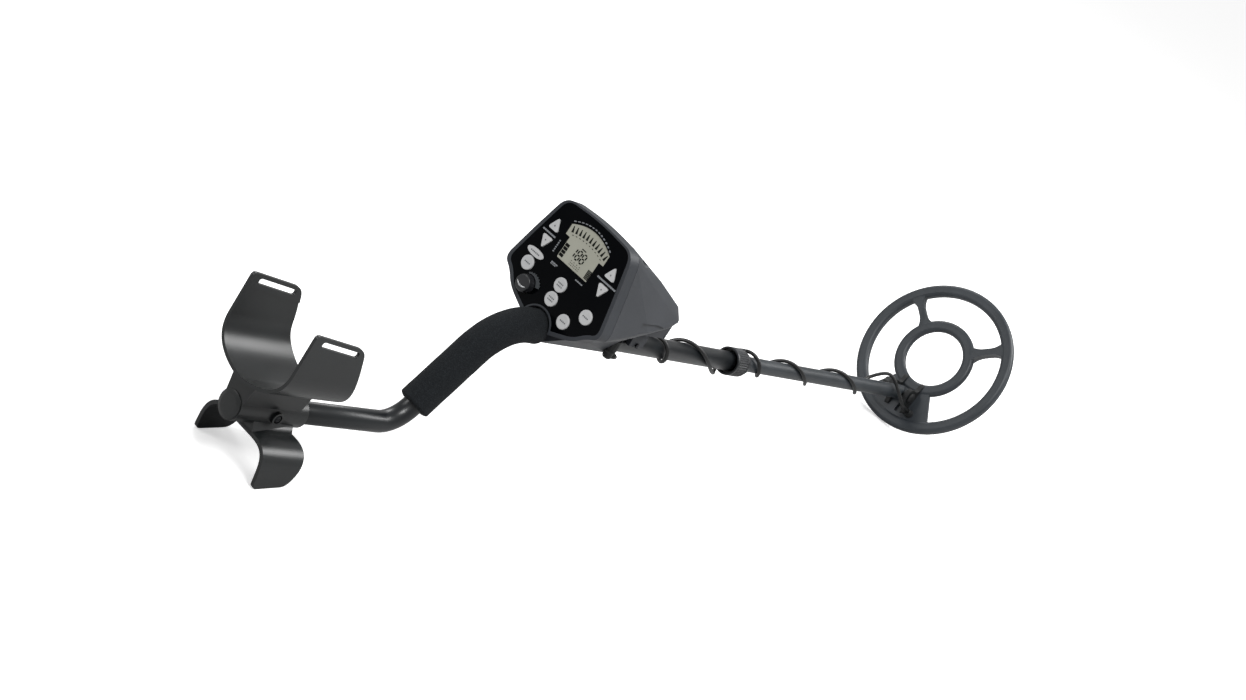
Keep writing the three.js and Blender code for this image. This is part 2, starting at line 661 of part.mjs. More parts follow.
function keelHull(inset) {
  const w = shellBack - inset;
  const onFace = (y, z) => facePoint(y, (z - faceHeight) / Math.sin(faceTilt), w);
  const half = [[49, 172], [47, 152], [20, 134], [12, 125], [7, shell.floor]];
  const lift = (z) => (z < shell.floor + 1 ? z + inset : z);
  const rear = half.flatMap(([y, z]) => [onFace(y - inset, lift(z)), onFace(inset - y, lift(z))]);
  const middle = keelStations.flatMap(([x, pairs]) => pairs
    .flatMap(([y, z]) => [vec(x, y - inset, lift(z)), vec(x, inset - y, lift(z))]));
  const nose = [[241, 22, 168], [shell.lowerEnd, 15, 132], [shell.lowerEnd, 7, shell.floor]]
    .flatMap(([x, y, z]) => [vec(x - inset, y - inset, lift(z)), vec(x - inset, inset - y, lift(z))]);
  return new ConvexGeometry([...rear, ...middle, ...nose]);
}

const socket = { x: 231, y: -19, low: 131, radius: 6.5, bore: 5, depth: 12, exit: 124 };
const jack = { x: 165, y: 66, z: 185, radius: 5, bore: 3.3, proud: 2.6 };
const bay = {
  rear: batteryBay.rear, front: 290.6, half: batteryBay.halfWidth, low: batteryBay.bottom + 1.5,
  wall: 1.8, high: 180,
};
const doorFront = 291.4;
const doorRear = doorFront - doorThickness;
const bayFloor = bay.low + bay.wall;

function makeShell(group) {
  const silhouette = plate(outlineShape(bezelMargin), -200, shellBack, 1);
  const outer = join(common(upperHull(0), silhouette), keelHull(0));
  const box = block(vec(bay.rear, -bay.half, bay.low), vec(doorRear - fit, bay.half, bay.high + bay.wall));
  const shellSolid = cut(outer, upperHull(shell.wall), keelHull(shell.wall));
  const wells = bezelScrews.map((at) => common(peg(5.2, at, -120, shellBack, 8), outer));
  const sockets = [
    cylinder(socket.radius + 2, vec(socket.x, socket.y, socket.low - 0.5),
      vec(socket.x, socket.y, socket.low + socket.depth + 14), 14),
  ];
  const divider = block(vec(bay.rear + 1, -0.7, bay.low + 0.5), vec(doorRear - fit, 0.7, bay.high + 0.5));
  const bayRoom = block(vec(bay.rear + bay.wall, -bay.half + bay.wall, bayFloor),
    vec(300, bay.half - bay.wall, bay.high));
  const frontCut = block(vec(doorRear - fit, -bay.half - fit, bay.low - 2),
    vec(shell.front + 8, bay.half + fit, bay.high - 0.2));
  const solid = join(cut(join(shellSolid, box), bayRoom, frontCut), divider, ...wells, ...sockets);
  const bores = bezelScrews.flatMap((at) => [
    peg(3.5, at, -130, -26, 8), peg(screwShank + fit, at, -30, -10, 8),
  ]);
  const socketBore = cylinder(socket.radius + fit, vec(socket.x, socket.y, 100),
    vec(socket.x, socket.y, socket.low + socket.depth + 20), 12);
  const jackBore = cylinder(jack.radius + fit, vec(jack.x, 40, jack.z), vec(jack.x, 90, jack.z), 12);
  const whole = cut(solid, rodClearance(rodRadius + fit), socketBore, jackBore, ...bores);
  add(group, 'housing_shell', whole, 'housing');
}

// cells, snaps and doors of the battery bay, coil socket and plug, headphone jack, screws and rod saddle
function makeHousingParts(group) {
  const inner = bay.half - bay.wall;
  const doorLow = bay.low;
  const hinge = vec(doorFront, 0, doorLow);
  [['left', 1], ['right', -1]].forEach(([side, sign]) => {
    const span = (from, to) => [Math.min(sign * from, sign * to), Math.max(sign * from, sign * to)];
    const middle = sign * (0.7 + inner) / 2;
    const centreZ = (bayFloor + bay.high) / 2;
    const rear = doorRear - fit - battery.length;
    const cell = block(vec(rear, middle - battery.width / 2, bayFloor + fit),
      vec(doorRear - fit, middle + battery.width / 2, bayFloor + fit + battery.height));
    const stud = (y, r) => cylinder(r, vec(rear + 1, y, centreZ), vec(rear - 2.2, y, centreZ), 14);
    add(group, `battery_${side}`, join(cell, stud(middle - 6.4, 4), stud(middle + 6.4, 2.9)), 'battery');
    const [low, high] = span(0.7 + fit + 0.6, inner - 0.8);
    add(group, `battery_snap_${side}`,
      block(vec(bay.rear + bay.wall + 0.2, low, centreZ - 6), vec(rear - 2.4, high, centreZ + 6)), 'rubber');
    const [from, to] = span(0.4, bay.half - 0.2);
    const door = block(vec(doorRear, from, doorLow), vec(doorFront, to, bay.high - 0.5));
    add(group, `battery_door_${side}`, door, 'housing', hinge.clone().setY((from + to) / 2));
  });

  const { depth } = socket;
  const cavity = [
    [0, depth], [socket.radius, depth], [socket.radius, 0], [socket.bore, 0], [socket.bore, depth - 3],
    [0, depth - 3],
  ];
  const socketAt = vec(socket.x, socket.y, socket.low);
  add(group, 'coil_socket', turned(cavity, socketAt, vec(0, 0, 1), 12), 'rubber');
  const drop = socket.exit - socket.low;
  const pin = socket.bore - fit;
  const barrel = [[0, depth - 3 - fit], [pin, depth - 3 - fit], [pin, -fit], [6, -fit], [6, -3], [5.2, -3.6],
    [5.2, drop - 2], [3.6, drop - 3.8], [0, drop - 4]];
  const elbow = cylinder(3.8, vec(socket.x + 1, socket.y, socket.exit),
    vec(socket.x + 10, socket.y, socket.exit), 12);
  const cableHole = cylinder(cable.radius + fit, vec(socket.x + 5, socket.y, socket.exit),
    vec(socket.x + 12, socket.y, socket.exit), 8);
  add(group, 'coil_plug', cut(join(turned(barrel, socketAt, vec(0, 0, 1), 12), elbow), cableHole), 'rubber');

  const jackProfile = [
    [0, -14], [7, -14], [7, -8], [jack.radius, -8], [jack.radius, jack.proud], [jack.bore, jack.proud],
    [jack.bore, -9], [0, -9],
  ];
  add(group, 'headphone_jack', turned(jackProfile, vec(jack.x, jack.y, jack.z), axisY, 12), 'rubber');

  bezelScrews.forEach((at, i) => {
    const screw = [[0, -28.8], [3.1, -28.8], [3.1, -26 - fit], [screwShank, -26 - fit], [screwShank, -9.6],
      [0, -9.6]];
    add(group, `bezel_screw_${i + 1}`, turned(screw, facePoint(...at, 0), faceNormal, 8), 'steel');
  });

  const { half, flange } = saddle;
  const clampShape = roundedShape([
    [-half, rodRise + flange, 0], [half, rodRise + flange, 0], [half, rodRise + half, 3],
    [half - 4, bay.low - fit, 0], [4 - half, bay.low - fit, 0], [-half, rodRise + half, 3],
  ]);
  const [sx, sz] = [saddle.screwAt, rodRise + saddle.screwUp];
  const screwHole = cylinder(screwShank + fit, vec(sx, -20, sz), vec(sx, 20, sz), 8);
  const clamp = cut(alongX(clampShape, saddle.rear, saddle.front, 2),
    rodClearance(rodRadius + fit, saddle.rear - 9, saddle.front + 9), screwHole);
  add(group, 'rod_saddle', clamp, 'housing');
  [['left', 1], ['right', -1]].forEach(([side, sign]) => {
    const screw = [[0, 0], [screwShank, 0], [screwShank, 7.2], [2.9, 7.2], [2.9, 8.8], [0, 9.2]];
    const tip = vec(sx, sign * 8.1, sz);
    add(group, `saddle_screw_${side}`, turned(screw, tip, vec(0, sign, 0), 8), 'steel');
  });
}

// ---------------------------------------------------------------- collar and lower stem
function makeCollar(group) {
  const { rear, front, radius, nose } = collar;
  const length = front - rear;
  const stemBore = stem.radius + runningGap;
  const profile = [
    [13.9, 0], [radius, 0], [radius, 3.5], [radius - 0.5, 4.2], [radius - 0.5, 22], [radius, 22.6],
    [nose + 0.6, length - 3], [nose, length], [stemBore, length], [stemBore, length - 3],
    [13.2, length - 3], [13.2, 19], [rodRadius + runningGap, 18.4], [rodRadius + runningGap, 5], [13.9, 5],
    [13.9, 0],
  ];
  const at = vec(rear, 0, rodRise);
  add(group, 'lock_collar', turned(profile, at, vec(1, 0, 0), 24), 'housing', at);
  const grip = [[stemBore, 19], [12.8, 19], [12.8, length - 3.4], [stemBore, length - 3.4], [stemBore, 19]];
  add(group, 'collet', turned(grip, at, vec(1, 0, 0), 16), 'rubber');
}

const pivotAt = vec(pivotForward, 0, 0); // on the stem's axis
const tongue = { half: 7.9, radius: 8.7 };

// everything on the lower stem is drawn about the stem's own axis
function makeStem(group) {
  const tube = pipe(stem.radius, stem.radius - stem.wall, vec(stem.rear, 0, 0), vec(stem.front, 0, 0), 20);
  add(group, 'lower_stem', tube, 'stem', vec(stem.rear, 0, 0));
  const inside = stem.radius - stem.wall - fit;
  const bushRadius = rodRadius - rodWall - runningGap;
  const bush = [
    [0, -3.4], [bushRadius, -3.4], [bushRadius, -fit], [inside, -fit], [inside, 12], [0, 12],
  ];
  add(group, 'stem_bush', turned(bush, vec(stem.rear, 0, 0), vec(1, 0, 0), 16), 'rubber');

  const plug = cylinder(inside, vec(stem.front - 28, 0, 0), vec(stem.front + 1, 0, 0), 16);
  const neck = cylinder(stem.radius, vec(stem.front + fit, 0, 0), vec(pivotForward + 4, 0, 0), 20);
  const cheek = block(vec(stem.front, -tongue.half, -12), vec(pivotForward + 12, tongue.half, 12));
  const nose = cylinder(tongue.radius, vec(pivotForward, -tongue.half, 0),
    vec(pivotForward, tongue.half, 0), 20);
  const hole = cylinder(pivotBolt + fit, vec(pivotForward, -20, 0), vec(pivotForward, 20, 0), 16);
  const shoulder = cylinder(20, vec(stem.front - 1, 0, 0), vec(stem.front + 6, 0, 0));
  const trimmed = common(neck, join(cheek, shoulder));
  const end = cut(trimmed, block(vec(pivotForward, -20, -20), vec(pivotForward + 30, 20, 20)));
  add(group, 'stem_tongue', cut(join(plug, end, nose), hole), 'stem');
}

// ---------------------------------------------------------------- coil, drawn about the pivot
const coilX = coil.behindPivot;
const coilZ = -coil.belowPivot;
const half = coil.thickness / 2;
const split = 0.15;
const winding = { outer: 94, inner: 44, radius: 2.6, groove: 3.1 };

function ringProfile(inner, outer, sign) {
  const points = [[inner, split], [outer, split], [outer, half - 2.8], [outer - 3.2, half],
    [inner + 3.2, half], [inner, half - 2.8], [inner, split]];
  return points.map(([r, z]) => [r, sign * z]);
}

function coilRing(inner, outer, sign, sides) {
  return turned(ringProfile(inner, outer, sign), vec(coilX, 0, coilZ), vec(0, 0, 1), sides);
}

function spokeShape(angle) {
  const w = coil.spoke / 2;
  const corners = [
    [coil.innerOuter - 3, -w - 5, 0], [coil.innerOuter + 6, -w, 7], [80, -w, 7],
    [coil.radius - coil.rim + 3, -w - 6, 0], [coil.radius - coil.rim + 3, w + 6, 0], [80, w, 7],
    [coil.innerOuter + 6, w, 7], [coil.innerOuter - 3, w + 5, 0],
  ];
  return roundedShape(corners.map(([x, y, r]) => [
    x * Math.cos(angle) - y * Math.sin(angle), x * Math.sin(angle) + y * Math.cos(angle), r]));
}

function rearPlateShape() {
  const shape = new THREE.Shape();
  const [from, to] = [Math.PI - coil.plateAngle, Math.PI + coil.plateAngle];
  shape.absarc(0, 0, coil.radius - coil.rim + 3, from, to, false);
  shape.absarc(0, 0, coil.innerOuter - 3, to, from, true);
  shape.closePath();
  return shape;
}

function inCoil(geometry) {
  return geometry.translate(coilX, 0, coilZ);
}

function coilHalf(sign) {
  const spokeTop = half - 0.8;
  const span = (thick) => (sign > 0 ? [split, thick] : [-thick, -split]);
  const pieces = [
    coilRing(coil.radius - coil.rim, coil.radius, sign, 40),
    coilRing(coil.innerBore, coil.innerOuter, sign, 24),
    inCoil(alongZ(rearPlateShape(), ...span(coil.plate / 2 + 1), 7)),
    inCoil(alongZ(spokeShape(coil.spokeAngle), ...span(spokeTop), 3)),
    inCoil(alongZ(spokeShape(-coil.spokeAngle), ...span(spokeTop), 3)),
  ];
  const grooves = [winding.outer, winding.inner].map((r) => turned([
    [r - winding.groove, -winding.groove], [r + winding.groove, -winding.groove],
    [r + winding.groove, winding.groove], [r - winding.groove, winding.groove],
    [r - winding.groove, -winding.groove],
  ], vec(coilX, 0, coilZ), vec(0, 0, 1), r > 60 ? 40 : 24));
  return cut(join(...pieces), ...grooves);
}

const gland = { x: -15.6, y: -22, height: 13, neck: 3.3 };

function lugShape() {
  const base = coilZ + 3.5;
  return roundedShape([
    [-20, base, 0], [26, base, 0], [24, coilZ + 7.5, 4], [11, coilZ + 10, 6], [9.5, 5, 4],
    [6.5, lug.radius, 5], [-6.5, lug.radius, 5], [-9.5, 5, 4], [-11, coilZ + 10, 6], [-18.5, coilZ + 7.5, 4],
  ]);
}

function makeCoil(group) {
  const bolt = cylinder(pivotBolt + fit, vec(0, -40, 0), vec(0, 40, 0), 16);
  const lugs = [alongY(lugShape(), lug.inner, lug.outer), alongY(lugShape(), -lug.outer, -lug.inner)];
  const glandBore = cylinder(gland.neck + fit, vec(gland.x, gland.y, coilZ + 1),
    vec(gland.x, gland.y, 0), 14);
  const top = cut(join(coilHalf(1), ...lugs), bolt, glandBore);
  add(group, 'coil_top_shell', top, 'coil');
  add(group, 'coil_bottom_shell', coilHalf(-1), 'coil');
  const torus = (radius, sides) => inCoil(new THREE.TorusGeometry(radius, winding.radius, 5, sides));
  add(group, 'transmit_winding', torus(winding.outer, 40), 'copper');
  add(group, 'receive_winding', torus(winding.inner, 24), 'copper');

  const boltProfile = [
    [0, -20], [4, -19.8], [6.6, -18.4], [6.6, -lug.outer - fit], [pivotBolt, -lug.outer - fit],
    [pivotBolt, boltEnd], [0, boltEnd],
  ];
  add(group, 'pivot_bolt', turned(boltProfile, vec(0, 0, 0), axisY, 14), 'rubber');
  const nut = [
    [pivotBolt + fit, lug.outer + fit], [8.6, lug.outer + fit], [9.2, 18], [8.6, 24.6], [7, boltEnd + 1.5],
    [0, boltEnd + 1.5], [0, boltEnd + fit], [pivotBolt + fit, boltEnd + fit],
    [pivotBolt + fit, lug.outer + fit],
  ];
  add(group, 'pivot_nut', turned(nut, vec(0, 0, 0), axisY, 14), 'rubber');
  [['left', 1], ['right', -1]].forEach(([side, sign]) => {
    const washer = pipe(7.4, pivotBolt + fit, vec(0, sign * (tongue.half + fit), 0),
      vec(0, sign * (lug.inner - fit), 0), 14);
    add(group, `washer_${side}`, washer, 'rubber');
  });

  const bore = cable.radius + fit;
  const top0 = coilZ + coil.plate / 2 + 1 + fit;
  const glandTop = top0 + gland.height - 4;
  const profile = [
    [bore, coilZ + 2], [gland.neck, coilZ + 2], [gland.neck, top0], [5.2, top0], [5.2, top0 + 2],
    [4.2, top0 + 4], [3.6, glandTop], [bore, glandTop], [bore, coilZ + 2],
  ];
  add(group, 'cable_gland', turned(profile, vec(gland.x, gland.y, 0), vec(0, 0, 1), 12), 'rubber');
}

// ---------------------------------------------------------------- cable
// turns about the rod: [forward, angle from the top towards the right, lay radius]
const upperLay = rodRadius + cable.radius + cable.lift;
const collarLay = collar.radius + cable.radius + cable.lift + 0.3;
const lowerLay = stem.radius + cable.radius + cable.lift;
const noseLay = collarLay - 4.4; // stepping down from the collar to the stem
const upperTurns = [
  [268, 180, upperLay], [290, 270, upperLay], [322, 333, upperLay], [350, 513, upperLay],
  [385, 693, upperLay], [440, 850, upperLay], [470, 905, collarLay - 1], [497, 968, collarLay],
  [514.6, 1044, noseLay],
];
const lowerFrom = 515; // where the lead passes from the collar's nose onto the stem
const alongStem = (share) => lowerFrom + share * (stem.front - lowerFrom);
const lowerTurns = [
  [lowerFrom, 1046, noseLay], [alongStem(26 / 353), 1215, lowerLay], [alongStem(85 / 353), 1413, lowerLay],
  [alongStem(138 / 353), 1593, lowerLay], [alongStem(200 / 353), 1773, lowerLay],
  [alongStem(257 / 353), 1953, lowerLay], [alongStem(290 / 353), 2060, lowerLay],
];

function around([x, degrees, radius]) {
  const angle = THREE.MathUtils.degToRad(degrees);
  return vec(x, -radius * Math.sin(angle), rodRise + radius * Math.cos(angle));
}

// points of a winding lead: each pair of knots is filled with even steps of turn
function windingPoints(knots, step) {
  const smooth = new THREE.CatmullRomCurve3(knots.map(([x, degrees, radius]) => vec(x, degrees, radius * 10)),
    false, 'centripetal');
  const last = knots[knots.length - 1][1];
  const count = Math.round((last - knots[0][1]) / step);
  const dense = smooth.getPoints(800);
  return Array.from({ length: count + 1 }, (_, i) => {
    const degrees = knots[0][1] + ((last - knots[0][1]) * i) / count;
    const j = Math.max(1, dense.findIndex((point) => point.y >= degrees - 1e-6));
    const [p, q] = [dense[j - 1], dense[j]];
    const share = (degrees - p.y) / Math.max(q.y - p.y, 1e-9);
    return around([p.x + (q.x - p.x) * share, degrees, (p.z + (q.z - p.z) * share) / 10]);
  });
}

function smoothPoints(points, spacing) {
  const curve = new THREE.CatmullRomCurve3(points, false, 'centripetal');
  return curve.getSpacedPoints(Math.max(2, Math.round(curve.getLength() / spacing)));
}

function cord(points) {
  const path = new StationPath(points);
  return sweep(path, cable.radius, 0, cable.sides);
}

// route of the lead from the plug's elbow forward and under the rod
const leadIn = [
  vec(socket.x + 5.5, socket.y, socket.exit), vec(socket.x + 12, socket.y, socket.exit),
  vec(socket.x + 20, socket.y + 3, socket.exit - 3),
  vec(socket.x + 29, socket.y + 10, rodRise - upperLay - 0.3),
];

const leadStep = 7 / 14.3; // spacing of the lead's stations, as a share of its lay radius

function makeUpperCable(group) {
  const turns = windingPoints(upperTurns, 22.5);
  const lead = smoothPoints([...leadIn, turns[0], turns[1]], leadStep * upperLay);
  add(group, 'cable_upper', cord([...lead.slice(0, -1), ...turns.slice(1)]), 'cable');
}

function makeLowerCable(group) {
  const turns = windingPoints(lowerTurns, 22.5);
  add(group, 'cable_lower', cord(turns), 'cable', vec(pivotForward, 0, rodRise));
}

// from the last turn on the stem over the near side and into the gland
function makeTailCable(group, coilFrame) {
  const gap = 0.4;
  const last = windingPoints(lowerTurns, 22.5).slice(-2);
  const along = last[1].clone().sub(last[0]).normalize();
  const start = last[1].clone().addScaledVector(along, gap);
  const top = coilZ + coil.plate / 2 + 1 + gland.height - 4;
  const inGland = (z) => vec(gland.x, gland.y, z).applyMatrix4(coilFrame);
  const route = [
    start, start.clone().addScaledVector(along, 12), around([stem.front - 26, 2150, lowerLay + 8]),
    inGland(top + 21), inGland(top + 7), inGland(top - 7),
  ];
  add(group, 'cable_tail', cord(smoothPoints(route, 8)), 'cable', vec(pivotForward, 0, rodRise));
}

// ---------------------------------------------------------------- assembly
const rodGroup = new THREE.Group();
rodGroup.name = 'rod_frame';
makeRod(rodGroup);
makeGrip(rodGroup);
makeBezel(rodGroup);
makeKeys(rodGroup);
makePanel(rodGroup);
makeElectronics(rodGroup);
makeShell(rodGroup);
makeHousingParts(rodGroup);
makeCollar(rodGroup);

const stemGroup = new THREE.Group();
stemGroup.name = 'stem_frame';
stemGroup.position.set(0, 0, rodRise);
stemGroup.rotation.x = stemTurn;
makeStem(stemGroup);
const coilGroup = new THREE.Group();
coilGroup.name = 'coil_frame';
coilGroup.position.copy(pivotAt);
coilGroup.rotation.y = -coil.tilt;
makeCoil(coilGroup);
stemGroup.add(coilGroup);
rodGroup.add(stemGroup);
rodGroup.updateMatrixWorld(true);
makeUpperCable(rodGroup);
makeLowerCable(rodGroup);
makeTailCable(rodGroup, coilGroup.matrixWorld);

// lowest height of the coil for a nose-down pitch, against the height of the soles
function coilPoints() {
  const points = [];
  coilGroup.traverse((mesh) => {
    if (!mesh.isMesh) return;
    const position = mesh.geometry.attributes.position;
    for (let i = 0; i < position.count; i += 1) {
      points.push(new THREE.Vector3().fromBufferAttribute(position, i).applyMatrix4(mesh.matrixWorld));
    }
  });
  return points;
}

const rim = coilPoints();
const heightAt = (x, z, pitch) => z * Math.cos(pitch) - x * Math.sin(pitch);

function standingPitch() {
  let [low, high] = [0, THREE.MathUtils.degToRad(20)];
  for (let i = 0; i < 50; i += 1) {
    const pitch = (low + high) / 2;
    const heights = rim.map((point) => heightAt(point.x, point.z, pitch));
    const coilLow = heights.reduce((least, height) => Math.min(least, height), Infinity);
    if (coilLow > heightAt(foot.x, -foot.drop, pitch)) low = pitch;
    else high = pitch;
  }
  return (low + high) / 2;
}

const pitch = standingPitch();
makeArmrest(rodGroup, pitch);
rodGroup.rotation.y = pitch;

const root = new THREE.Group();
root.name = 'metal_detector';
root.add(rodGroup);
root.updateMatrixWorld(true);
const bounds = new THREE.Box3().setFromObject(root, true);
rodGroup.position.set(-(bounds.min.x + bounds.max.x) / 2, -(bounds.min.y + bounds.max.y) / 2, -bounds.min.z);
root.updateMatrixWorld(true);

export default root;
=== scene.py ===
"""Looks of a metal detector: rod, armrest stand, control housing, lower stem, coil and wound cable."""

import logging
import math
from dataclasses import dataclass, field
from enum import Enum
from typing import Callable, Optional, Sequence

import bpy
import numpy as np
from mathutils import Matrix, Vector
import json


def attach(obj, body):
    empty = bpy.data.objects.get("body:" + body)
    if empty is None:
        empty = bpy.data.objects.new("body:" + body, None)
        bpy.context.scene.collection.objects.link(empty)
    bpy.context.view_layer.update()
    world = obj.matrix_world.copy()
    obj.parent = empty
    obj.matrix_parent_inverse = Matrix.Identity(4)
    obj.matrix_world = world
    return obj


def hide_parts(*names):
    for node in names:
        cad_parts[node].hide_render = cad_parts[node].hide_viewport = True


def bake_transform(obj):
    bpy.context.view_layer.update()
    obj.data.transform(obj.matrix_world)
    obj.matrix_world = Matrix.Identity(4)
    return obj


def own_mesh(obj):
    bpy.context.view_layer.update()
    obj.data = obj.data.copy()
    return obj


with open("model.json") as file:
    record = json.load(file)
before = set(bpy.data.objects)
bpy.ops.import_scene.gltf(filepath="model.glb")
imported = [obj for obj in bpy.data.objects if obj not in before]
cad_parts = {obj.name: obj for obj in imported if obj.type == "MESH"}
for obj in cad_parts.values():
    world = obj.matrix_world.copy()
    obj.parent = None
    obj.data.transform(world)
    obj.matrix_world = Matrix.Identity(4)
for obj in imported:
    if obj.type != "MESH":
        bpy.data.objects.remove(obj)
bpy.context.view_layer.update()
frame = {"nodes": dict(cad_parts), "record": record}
LOG = logging.getLogger("detector")
logging.basicConfig(level=logging.INFO, format="%(message)s")
MM = 0.001


# ------------------------------------------------------------------ frames
@dataclass(frozen=True)
class Axes:
    """A local frame: an origin in metres and three unit axes as the columns of a matrix."""

    origin: np.ndarray
    matrix: np.ndarray

    def out(self, points: np.ndarray) -> np.ndarray:
        """Points given in millimetres in this frame, returned in metres in the row frame.

        Args:
            points: array whose last axis holds x, y and z.
        Returns:
            array of the same shape.
        """
        return self.origin + np.asarray(points, float) @ self.matrix.T * MM

    def child(self, at: Sequence[float], turn: np.ndarray) -> "Axes":
        """A frame at a point of this one, turned by a matrix."""
        return Axes(self.out(np.array(at, float)), self.matrix @ turn)


def turn_about(axis: int, angle: float) -> np.ndarray:
    """Right-hand rotation matrix about X (0), Y (1) or Z (2)."""
    c, s = math.cos(angle), math.sin(angle)
    i, j = [(1, 2), (2, 0), (0, 1)][axis]
    m = np.eye(3)
    m[i, i] = m[j, j] = c
    m[i, j], m[j, i] = -s, s
    return m


@dataclass(frozen=True)
class Sizes:
    """Driving sizes in millimetres, as the solids have them."""

    rod_radius: float = 11.1
    rod_wall: float = 1.2
    rod_rear: float = -222.0
    rod_front: float = 496.0
    rise: float = 131.8
    run: float = 67.2
    rear_bend: float = 40.0
    front_bend: float = 70.0
    grip_radius: float = 18.0
    grip_start: float = 26.0
    grip_end: float = 122.0
    collar_rear: float = 478.0
    stem_radius: float = 8.75
    stem_wall: float = 1.8
    stem_rear: float = 352.0
    stem_front: float = 868.0
    stem_turn: float = math.radians(-6.5)
    pivot: float = 885.5
    coil_tilt: float = math.radians(69.1)
    coil_ahead: float = 61.5
    coil_below: float = 18.0
    face_forward: float = 118.2
    face_height: float = 215.5
    face_tilt: float = math.radians(87.0)
    cable_radius: float = 2.5


S = Sizes()


def joint(name: str) -> dict:
    """The record's joint of that name."""
    return next(j for j in frame["record"]["behaviour"]["joints"] if j["name"] == name)


def rod_axes() -> Axes:
    """The rod's frame: +X along the straight tube, found from the slide's axis and the collar's place."""
    x = np.array(joint("stem_slide")["axis"], float)
    x /= np.linalg.norm(x)
    y = np.array([0.0, 1.0, 0.0])
    matrix = np.stack([x, y, np.cross(x, y)], axis=1)
    collar = np.array(joint("collar_turn")["pos_m"], float)
    return Axes(collar - np.array([S.collar_rear, 0, S.rise]) @ matrix.T * MM, matrix)


ROD = rod_axes()
FACE = ROD.child(
    (S.face_forward, 0, S.face_height),
    np.array([[0, math.cos(S.face_tilt), -math.sin(S.face_tilt)], [-1, 0, 0],
              [0, math.sin(S.face_tilt), math.cos(S.face_tilt)]]),
)
STEM = ROD.child((0, 0, S.rise), turn_about(0, S.stem_turn))
COIL = STEM.child((S.pivot, 0, 0), turn_about(1, -S.coil_tilt))


# ------------------------------------------------------------------ mesh makers
def grid_faces(rows: int, cols: int, wrap_rows: bool, wrap_cols: bool) -> np.ndarray:
    """Quads of a grid of rows x cols points, joined round where a direction wraps."""
    r = np.arange(rows if wrap_rows else rows - 1)[:, None]
    c = np.arange(cols if wrap_cols else cols - 1)[None, :]
    r2, c2 = (r + 1) % rows, (c + 1) % cols
    quads = [r * cols + c, r * cols + c2, r2 * cols + c2, r2 * cols + c]
    return np.stack(np.broadcast_arrays(*quads), axis=-1).reshape(-1, 4)


def make_object(name: str, points: np.ndarray, faces: Sequence, smooth: bool = True) -> bpy.types.Object:
    """A mesh object with its place in its vertices, faces turned outwards."""
    mesh = bpy.data.meshes.new(name)
    mesh.from_pydata(np.asarray(points).reshape(-1, 3).tolist(), [], [list(map(int, f)) for f in faces])
    mesh.update()
    import bmesh

    work = bmesh.new()
    work.from_mesh(mesh)
    bmesh.ops.recalc_face_normals(work, faces=work.faces)
    work.to_mesh(mesh)
    work.free()
    mesh.polygons.foreach_set("use_smooth", np.full(len(mesh.polygons), smooth))
    obj = bpy.data.objects.new(name, mesh)
    bpy.context.scene.collection.objects.link(obj)
    return obj


def grid_object(name: str, grid: np.ndarray, axes: Axes, wrap_rows: bool = False,
                wrap_cols: bool = True, caps: bool = True) -> bpy.types.Object:
    """A surface of two parameters as an object, its open ends closed by a cap each."""
    rows, cols = grid.shape[:2]
    faces = [tuple(f) for f in grid_faces(rows, cols, wrap_rows, wrap_cols)]
    if caps and wrap_cols and not wrap_rows:
        faces.append(tuple(range(cols)))
        faces.append(tuple(range((rows - 1) * cols, rows * cols)))
    return make_object(name, axes.out(grid), faces)


def lathe(name: str, profile: np.ndarray, axes: Axes, at: Sequence[float], direction: int = 0,
          sides: int = 64, ripple: Optional[Callable] = None, closed: bool = False) -> bpy.types.Object:
    """Radius and distance pairs turned about an axis: point = at + along * axis + radius * (cos, sin)."""
    angle = np.linspace(0, 2 * math.pi, sides, endpoint=False)
    radius = np.repeat(profile[:, :1], sides, axis=1)
    along = np.repeat(profile[:, 1:], sides, axis=1)
    if ripple is not None:
        radius = ripple(radius, along, angle[None, :])
    cross = [(1, 2), (2, 0), (0, 1)][direction]
    grid = np.zeros((len(profile), sides, 3))
    grid[..., direction] = along
    grid[..., cross[0]] = radius * np.cos(angle)
    grid[..., cross[1]] = radius * np.sin(angle)
    return grid_object(name, grid + np.array(at, float), axes, wrap_rows=closed)


def rounded(points: Sequence[Sequence[float]], radius: float, steps: int = 4) -> np.ndarray:
    """An open profile with each inner corner turned by a short quadratic curve."""
    p = np.array(points, float)
    before, corner, after = p[:-2], p[1:-1], p[2:]
    reach_b = np.minimum(radius / np.maximum(np.linalg.norm(before - corner, axis=1), 1e-9), 0.45)[:, None]
    reach_a = np.minimum(radius / np.maximum(np.linalg.norm(after - corner, axis=1), 1e-9), 0.45)[:, None]
    enter, leave = corner + (before - corner) * reach_b, corner + (after - corner) * reach_a
    t = np.linspace(0, 1, steps)[None, :, None]
    curve = enter[:, None] * (1 - t) ** 2 + corner[:, None] * 2 * t * (1 - t) + leave[:, None] * t**2
    return np.concatenate([p[:1], curve.reshape(-1, p.shape[1]), p[-1:]])


def tube(name: str, path: np.ndarray, across: np.ndarray, radius: np.ndarray, axes: Axes,
         sides: int = 32, bore: float = 0.0) -> bpy.types.Object:
    """A round section carried along a path. across is a direction that never lies along the path."""
    tangent = np.gradient(path, axis=0)
    tangent /= np.linalg.norm(tangent, axis=1)[:, None]
    first = across - (across * tangent).sum(1)[:, None] * tangent
    first /= np.linalg.norm(first, axis=1)[:, None]
    second = np.cross(tangent, first)
    angle = np.linspace(0, 2 * math.pi, sides, endpoint=False)[None, :, None]
    ring = first[:, None] * np.cos(angle) + second[:, None] * np.sin(angle)
    outer = path[:, None] + ring * np.asarray(radius).reshape(-1, 1, 1)
    if not bore:
        return grid_object(name, outer, axes)
    inner = (path[:, None] + ring * bore)[::-1]
    return grid_object(name, np.concatenate([outer, inner]), axes, wrap_rows=True)


